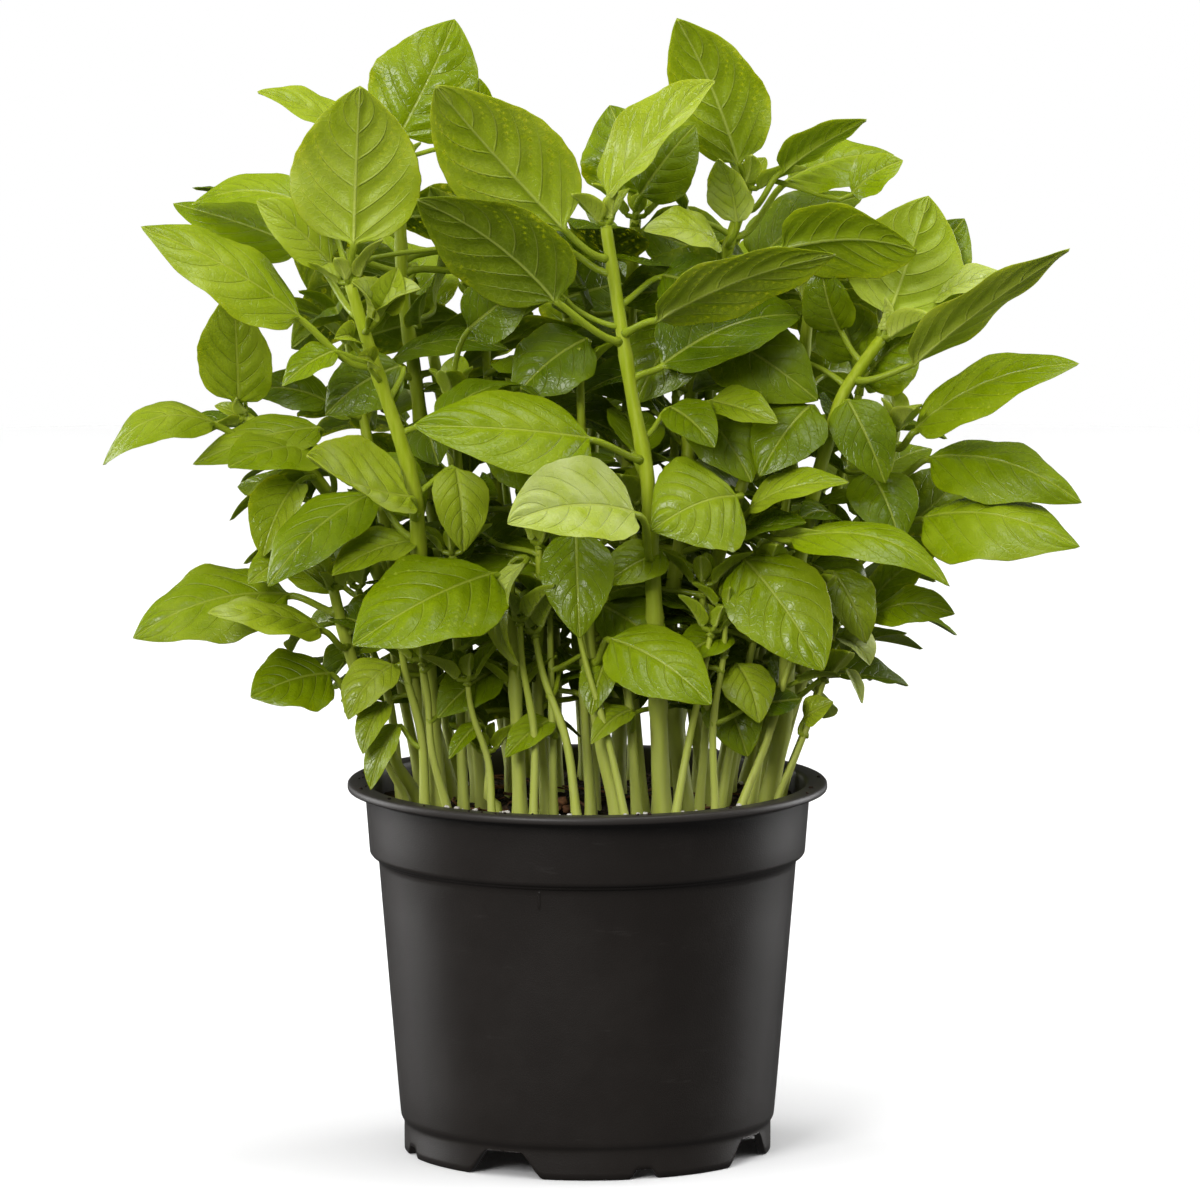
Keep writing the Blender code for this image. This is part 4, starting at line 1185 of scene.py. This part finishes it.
def all_lines():
    """Every stem's line: the frame's stems, and the thin ones, whose lines rise from the soil and
    sweep to their heads on a smooth curve."""
    lines = {name: stem_line(name) for name in nodes_of("stem_")}
    for i, ((x, y), head, radius) in enumerate(THIN_STEMS):
        foot, head = np.array([x, y, 90.0]), np.array(head, float)
        lean = head - foot
        wave = np.array([math.sin(2.1 * i), math.cos(1.7 * i), 0]) * 1.8
        route = [foot, foot + (lean[0] * 0.08, lean[1] * 0.08, 9),
                 foot + lean * (0.42, 0.42, 0.5) + wave, foot + lean * (0.8, 0.8, 0.8), head]
        points = through(np.array(route) * MM, 0.003)
        lines[f"thin_{i:02d}"] = Line(points, np.linspace(radius, radius * 0.62, len(points)) * MM)
    return lines


def inside_box(points, spare=0.003):
    """Whether all points lie in the frame's box, give or take a little."""
    low, high = np.array(CAD_BOX)
    return bool((points > low - spare).all() and (points < high + spare).all())


def leaf_seed(name):
    """A seed of the leaf's own, from its name."""
    return sum(ord(letter) * 31**i for i, letter in enumerate(name)) % 100003


class Operator(bpy.types.Operator):
    """What the plant's operators share."""

    bl_options = {"REGISTER", "UNDO"}


class BASIL_OT_pot(Operator):
    """Makes the moulded pot with its rolled rim, step, drained floor and eight feet."""

    bl_idname = "basil.pot"
    bl_label = "Pot"

    def execute(self, context):
        looks = context.scene.basil_pot
        pot = Skin().add(*pot_skin(looks))
        pot = pot.build("nursery_pot", pot_finish(looks), "pot_plastic", "pot")
        cutters = Skin()
        turns = 2 * math.pi * (np.arange(DRAIN_HOLES) + 0.5) / DRAIN_HOLES
        cutters.gather(drain_cutter(turn) for turn in turns)
        cutter = plain_object("drains", cutters.joined())
        cut = pot.modifiers.new("drains", "BOOLEAN")
        cut.operation, cut.solver, cut.object = "DIFFERENCE", "EXACT", cutter
        context.view_layer.update()
        finished = pot.evaluated_get(context.evaluated_depsgraph_get())
        drained = bpy.data.meshes.new_from_object(finished)
        pot.modifiers.clear()
        pot.data = drained
        bpy.data.objects.remove(cutter, do_unlink=True)
        return {"FINISHED"}


class BASIL_OT_soil(Operator):
    """Makes the soil with its lumpy surface, loose crumbs, bark fibres, a crumbled bit of bark, and
    perlite grains on the soil and caught at the lip."""

    bl_idname = "basil.soil"
    bl_label = "Soil"

    def execute(self, context):
        looks = context.scene.basil_soil
        random = np.random.default_rng(SOIL_SEED)
        soil = Skin().add(*soil_skin())
        soil.build("peat_soil", soil_finish(looks), "potting_mix", "potting_soil")

        crumbs = Skin()
        sizes = random.uniform(0.0006, 0.0019, looks.crumbs)
        sizes *= random.uniform(0.6, 1.2, looks.crumbs)
        crumbs.gather(lumps(random, scattered(random, looks.crumbs, 0.0565), sizes, 0.75))
        rim = random.uniform(0, 2 * np.pi, 26)
        on_rim = round_axis(random.uniform(0.0608, 0.0640, 26), rim, 0.10095)
        crumbs.gather(lumps(random, on_rim, random.uniform(0.0003, 0.0007, 26), 0.6))
        finish = grain_finish("peat_crumb", tuple(looks.brown), tuple(looks.dark), 700.0)
        crumbs.build("soil_crumbs", finish, "potting_mix")

        fibres = Skin()
        for start in scattered(random, 56, 0.054):
            angle, length = random.uniform(0, 2 * math.pi), random.uniform(0.005, 0.014)
            s = np.linspace(-0.5, 0.5, 7)[:, None]
            bend = random.uniform(-0.4, 0.4)
            way = np.array([math.cos(angle), math.sin(angle), random.uniform(-0.12, 0.25)])
            across = np.array([-math.sin(angle), math.cos(angle), 0.3])
            path = start + (0, 0, 0.0011) + way * s * length
            path += across * bend * length * (s * s - 0.1)
            path = np.minimum(path, (9, 9, 0.1004))
            inward = np.minimum(1, 0.0578 / np.linalg.norm(path[:, :2], axis=1))
            path *= inward[:, None] ** (1, 1, 0)
            radii = np.full(7, random.uniform(0.00022, 0.0005))
            fibres.add(*tube(path, radii, 5, side=(0.1, 0.2, 1.0)))
        spread = random.normal(0, 1, (22, 3)) * (0.0022, 0.0015, 0.0016)
        heap = np.array([-0.0088, -0.024, 0.0955]) + spread
        heap[:, 2] = np.maximum(heap[:, 2], 0.0955) + 0.0012
        fibres.gather(lumps(random, heap, random.uniform(0.0007, 0.0019, 22), 0.8))
        finish = grain_finish("bark_fibre", (0.26, 0.12, 0.055), (0.10, 0.045, 0.02), 500.0)
        fibres.build("bark_fibres", finish, "potting_mix")

        perlite = Skin()
        front = random.uniform(-2.6, -0.5, looks.grains)
        spots = round_axis(random.uniform(0.047, 0.0572, looks.grains), front)
        spots[::3] = scattered(random, len(spots[::3]), 0.055)
        spots[:, 2] = soil_height(spots) + 0.0006
        at_lip = round_axis(0.0594, random.uniform(-2.45, -0.6, 16), 0.1005)
        spots = np.concatenate([spots, at_lip])
        perlite.gather(lumps(random, spots, random.uniform(0.0004, 0.0011, len(spots)), 0.8))
        finish = grain_finish("perlite", tuple(looks.perlite), (0.42, 0.39, 0.33), 900.0)
        perlite.build("perlite_grains", finish, "potting_mix")
        return {"FINISHED"}


class BASIL_OT_stems(Operator):
    """Makes every stem: soft ridges along it, and a swelling at each leaf pair."""

    bl_idname = "basil.stems"
    bl_label = "Stems"

    def execute(self, context):
        finish = stem_finish(context.scene.basil_stem)
        thin = Skin()
        for name, line in all_lines().items():
            heights = line.points[:, 2]
            joints = np.arange(0.122 + (leaf_seed(name) % 9) * MM, heights[-1] - 0.008, 0.023)
            swell = np.exp(-(((heights[:, None] - joints) / 0.0022) ** 2)).sum(1)
            foot = 0.28 * np.exp(-((heights - 0.094) / 0.006) ** 2)
            wave = 0.04 * value_noise(line.points, 0.006, 17)
            radii = line.radii * (1 + 0.16 * swell + foot + wave)
            if name.startswith("thin_"):
                thin.add(*tube(line.points, radii, 8, ridge=0.04))
                continue
            one = Skin().add(*tube(line.points, radii * SLIM, 16, ridge=0.06))
            one.build(f"green_{name}", finish, "stem_green", name)
        thin.build("thin_stems", finish, "stem_green")
        return {"FINISHED"}


class BASIL_OT_leaves(Operator):
    """Makes the frame's own leaves in full detail, each in place of its node."""

    bl_idname = "basil.leaves"
    bl_label = "Leaves"

    def execute(self, context):
        finish = leaf_finish(context.scene.basil_leaf)
        for name in nodes_of("leaf_"):
            random = np.random.default_rng(leaf_seed(name))
            habit = habit_of(random, LEAF_TONES_LIGHT_AND_SHADE.get(name, 0.0))
            habit.pucker = LEAF_PUCKERS.get(name, habit.pucker)
            blade = rolled(frame_blade(name), *LEAF_ROLLS.get(name, (0.0, 0.0)))
            made, values = leaf_skin(blade, habit)
            one = Skin().add(*made, **values)
            one.build(f"basil_{name}", finish, "leaf_green", name)
        return {"FINISHED"}


class BASIL_OT_small_leaves(Operator):
    """Makes the smaller leaves, the tufts at the stem heads, and the pairs of leaves that fill the
    back and the inside of the plant, in one piece for each stem."""

    bl_idname = "basil.small_leaves"
    bl_label = "Small leaves"

    def execute(self, context):
        finish = bpy.data.materials["basil_leaf"]
        lines = all_lines()
        random = np.random.default_rng(LEAVES_SEED)
        pieces, space = {}, Space()
        for name in nodes_of("leaf_"):
            space.take(coarse(frame_blade(name), Habit()))

        def grow(stem, blade, habit, detail):
            rows, columns = detail
            made, values = leaf_skin(blade, habit, rows, columns, 6)
            pieces.setdefault(stem, Skin()).add(*made, **values)
            space.take(coarse(blade, habit))

        for base, tip, width, up, bow, cup, tone in SMALL_LEAVES:
            base, tip = np.array(base) * MM, np.array(tip) * MM
            stem, node = nearest_stem(lines, base)
            blade = planned_blade(lines[stem], node, base, tip, width * MM, up, bow * MM, cup)
            grow(stem, blade, habit_of(random, tone), (28, 18))
        for name, length in TUFTS:
            for blade in tuft_blades(lines[name], length * MM, random.uniform(0, math.pi)):
                grow(name, blade, habit_of(random, 0.7, 0.6), (14, 10))
        for name, line in lines.items():
            if name.startswith("thin_"):
                length = random.uniform(9, 15) * MM
                for blade in tuft_blades(line, length, random.uniform(0, math.pi)):
                    grow(name, blade, habit_of(random, 0.1, 0.8), (12, 10))
        for name, line in lines.items():
            self.fill(name, line, random, space, grow)
        self.thicken(lines, random, space, grow)
        for name, skin in pieces.items():
            skin.build(f"small_leaves_{name}", finish, "leaf_green")
        return {"FINISHED"}

    def fill(self, name, line, random, space, grow):
        """Pairs of leaves up one stem, each pair a quarter turn on from the last, where there is
        room."""
        gap, lowest = (0.002, 0.120) if name.startswith("thin_") else (0.012, 0.125)
        turn = random.uniform(0, math.pi)
        for height in np.arange(line.points[-1, 2] - gap, lowest, -0.014):
            turn += math.pi / 2 + random.normal(0, 0.15)
            axis, radius, _ = line.at(height)
            for half_turn in (0, 1):
                for attempt in range(7):
                    angle = turn + math.pi * half_turn + random.normal(0, 0.1 + 0.2 * attempt)
                    way = np.array([math.cos(angle), math.sin(angle), 0.0])
                    low_down = np.clip((0.22 - height) / 0.11, 0, 1)
                    length = random.uniform(0.028, 0.046) * (1 - 0.45 * low_down**1.5)
                    length *= 1 - 0.07 * attempt
                    rise = random.normal(0.25, 0.3) - 0.5 * low_down
                    base = axis + way * (random.uniform(0.008, 0.015) + radius)
                    base += (0, 0, random.uniform(0.001, 0.007))
                    tip = base + unit(way + (0, 0, rise)) * length
                    outward = unit(base * (1, 1, 0) + (0, 0, 0.02))
                    up = np.array([0, 0, 0.8]) + 0.8 * outward + random.normal(0, 0.25, 3)
                    front = min(base[1], tip[1])
                    if front < -0.034 or not inside_box(np.array([base, tip])) or tip[2] < 0.105:
                        continue
                    width = length * random.uniform(0.56, 0.68)
                    bow, cup = length * random.uniform(0.06, 0.16), random.uniform(-0.1, 0.35)
                    blade = planned_blade(line, height, base, tip, width, up, bow, cup)
                    # Painted shade: leaves inside the crown, just behind the front ones, get a dark
                    # tone, and those further back a less dark one.
                    habit = habit_of(random, -0.85 if front < 0.01 else -0.3)
                    if space.crossings(coarse(blade, habit)) > (12 if front < 0 else 24):
                        continue
                    grow(name, blade, habit, (22, 16))
                    break

    def thicken(self, lines, random, space, grow):
        """Hanging leaves through the middle of the crown, on a jittered lattice across its width
        and height, each on the nearest stem and turned mostly to the front or the back."""
        for z, x in itertools.product(np.arange(128, 252, 9.5), np.arange(-72, 80, 10)):
            x, z = x + random.uniform(-5, 5), z + random.uniform(-5, 5)
            if abs(x - 4) > 54 + 0.25 * (z - 128):
                continue
            for _ in range(4):
                base = np.array([x, random.uniform(2, 44), z]) * MM
                angle = random.uniform(0, 2 * math.pi)
                length = random.uniform(0.030, 0.044) * (0.75 + 0.25 * min(1, (z - 128) / 50))
                way = (math.cos(angle), 0.5 * math.sin(angle), random.uniform(-0.9, 0.2))
                tip = base + unit(np.array(way)) * length
                if not inside_box(np.array([base, tip])) or tip[2] < 0.112:
                    continue
                up = (random.normal(0, 0.3), -0.9 if base[1] < 0.03 else 0.9, 0.6)
                stem, node = nearest_stem(lines, base)
                width = length * random.uniform(0.58, 0.7)
                bow, cup = length * random.uniform(0.06, 0.16), random.uniform(-0.15, 0.3)
                blade = planned_blade(lines[stem], node, base, tip, width, up, bow, cup)
                # Painted shade: the hanging leaves through the middle of the crown get a dark tone.
                habit = habit_of(random, -0.85)
                if space.crossings(coarse(blade, habit)) > 40:
                    continue
                grow(stem, blade, habit, (22, 16))
                break


def area_light(name, place, aim, size, power):
    """A square soft light that faces its aim."""
    data = bpy.data.lights.new(name, "AREA")
    data.shape, data.size, data.energy = "SQUARE", size, power
    made = bpy.data.objects.new(name, data)
    bpy.context.scene.collection.objects.link(made)
    made.location = place
    way = np.array(aim, float) - np.array(place, float)
    made.rotation_euler = (math.atan2(np.hypot(way[0], way[1]), -way[2]), 0.0,
                           math.atan2(way[1], way[0]) - math.pi / 2)
    return made


class BASIL_OT_stage(Operator):
    """Makes the pale floor, the soft lights and the camera."""

    bl_idname = "basil.stage"
    bl_label = "Stage"

    def execute(self, context):
        looks = context.scene.basil_stage
        scene = context.scene
        steps = 96
        circle = round_axis(1.0, -np.arange(steps) * 2 * np.pi / steps)
        profile = ((0.3, 0.0), (0.8, 0.0), (1.6, 0.0), (1.6, -0.01))
        rings = np.array([circle * r + (0, 0, z) for r, z in profile])
        points, quads, fans = loft(rings, (0, 0, 0.0), (0, 0, -0.01))
        floor = plain_object("floor", (points - (0, 0, 0.0001), quads, fans))
        floor.data.materials.append(backdrop_finish(tuple(looks.sweep)))
        floor.visible_diffuse = floor.visible_glossy = False
        floor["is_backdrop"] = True
        self.surround(scene, looks)
        lights = {name: area_light(name, *light) for name, *light in LIGHTS}
        lights["ceiling"].visible_glossy = False

        lens = bpy.data.cameras.new("camera")
        camera = bpy.data.objects.new("camera", lens)
        scene.collection.objects.link(camera)
        lens.sensor_width = 36.0
        lens.lens = lens.sensor_width * looks.distance / looks.width
        lens.clip_start, lens.clip_end = 0.1, 100.0
        back = np.array([0.0, -math.cos(looks.elevation), math.sin(looks.elevation)])
        camera.location = np.array(VIEW_MIDDLE) + back * looks.distance
        camera.rotation_euler = (math.pi / 2 - looks.elevation, 0.0, 0.0)
        scene.camera = camera
        scene.view_settings.view_transform = "Standard"
        return {"FINISHED"}

    def surround(self, scene, looks):
        """Light from all round: white where it is seen straight on, and dim where it lights or is
        mirrored."""
        world = scene.world or bpy.data.worlds.new("studio")
        scene.world = world
        world.use_nodes = True
        tree = world.node_tree
        sky = tree.nodes["Background"]
        white = tree.nodes.new("ShaderNodeBackground")
        seen, either = tree.nodes.new("ShaderNodeLightPath"), tree.nodes.new("ShaderNodeMixShader")
        dim = tree.nodes.new("ShaderNodeMapRange")
        dim.inputs["To Min"].default_value = looks.surround
        dim.inputs["To Max"].default_value = looks.mirrored
        tree.links.new(seen.outputs["Is Glossy Ray"], dim.inputs["Value"])
        tree.links.new(dim.outputs[0], sky.inputs["Strength"])
        tree.links.new(seen.outputs["Is Camera Ray"], either.inputs[0])
        tree.links.new(sky.outputs[0], either.inputs[1])
        tree.links.new(white.outputs[0], either.inputs[2])
        tree.links.new(either.outputs[0], tree.nodes["World Output"].inputs["Surface"])
        for background in (sky, white):
            background.inputs["Color"].default_value = (1.0, 1.0, 1.0, 1.0)


class BASIL_PT_panel(bpy.types.Panel):
    """Lists the plant's operators."""

    bl_label = "Potted basil"
    bl_idname = "BASIL_PT_panel"
    bl_space_type = "VIEW_3D"
    bl_region_type = "UI"
    bl_category = "Basil"

    def draw(self, context):
        for operator in OPERATORS:
            self.layout.operator(operator.bl_idname)


OPERATORS = (BASIL_OT_pot, BASIL_OT_soil, BASIL_OT_stems, BASIL_OT_leaves, BASIL_OT_small_leaves,
             BASIL_OT_stage)
SETTINGS = {"basil_leaf": LeafLooks, "basil_stem": StemLooks, "basil_pot": PotLooks,
            "basil_soil": SoilLooks, "basil_stage": StageLooks}


def register():
    for kind in (*SETTINGS.values(), *OPERATORS, BASIL_PT_panel):
        bpy.utils.register_class(kind)
    for name, kind in SETTINGS.items():
        setattr(bpy.types.Scene, name, PointerProperty(type=kind))


def unregister():
    for name in SETTINGS:
        delattr(bpy.types.Scene, name)
    for kind in (BASIL_PT_panel, *reversed(OPERATORS), *reversed(SETTINGS.values())):
        bpy.utils.unregister_class(kind)


def main():
    register()
    bpy.ops.basil.pot()
    bpy.ops.basil.soil()
    bpy.ops.basil.stems()
    bpy.ops.basil.leaves()
    bpy.ops.basil.small_leaves()
    bpy.ops.basil.stage()
    boxes = {"cad": CAD_BOX, "visual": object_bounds()}
    boxes = {name: [list(corner) for corner in box] for name, box in boxes.items()}


if __name__ == "__main__":
    main()
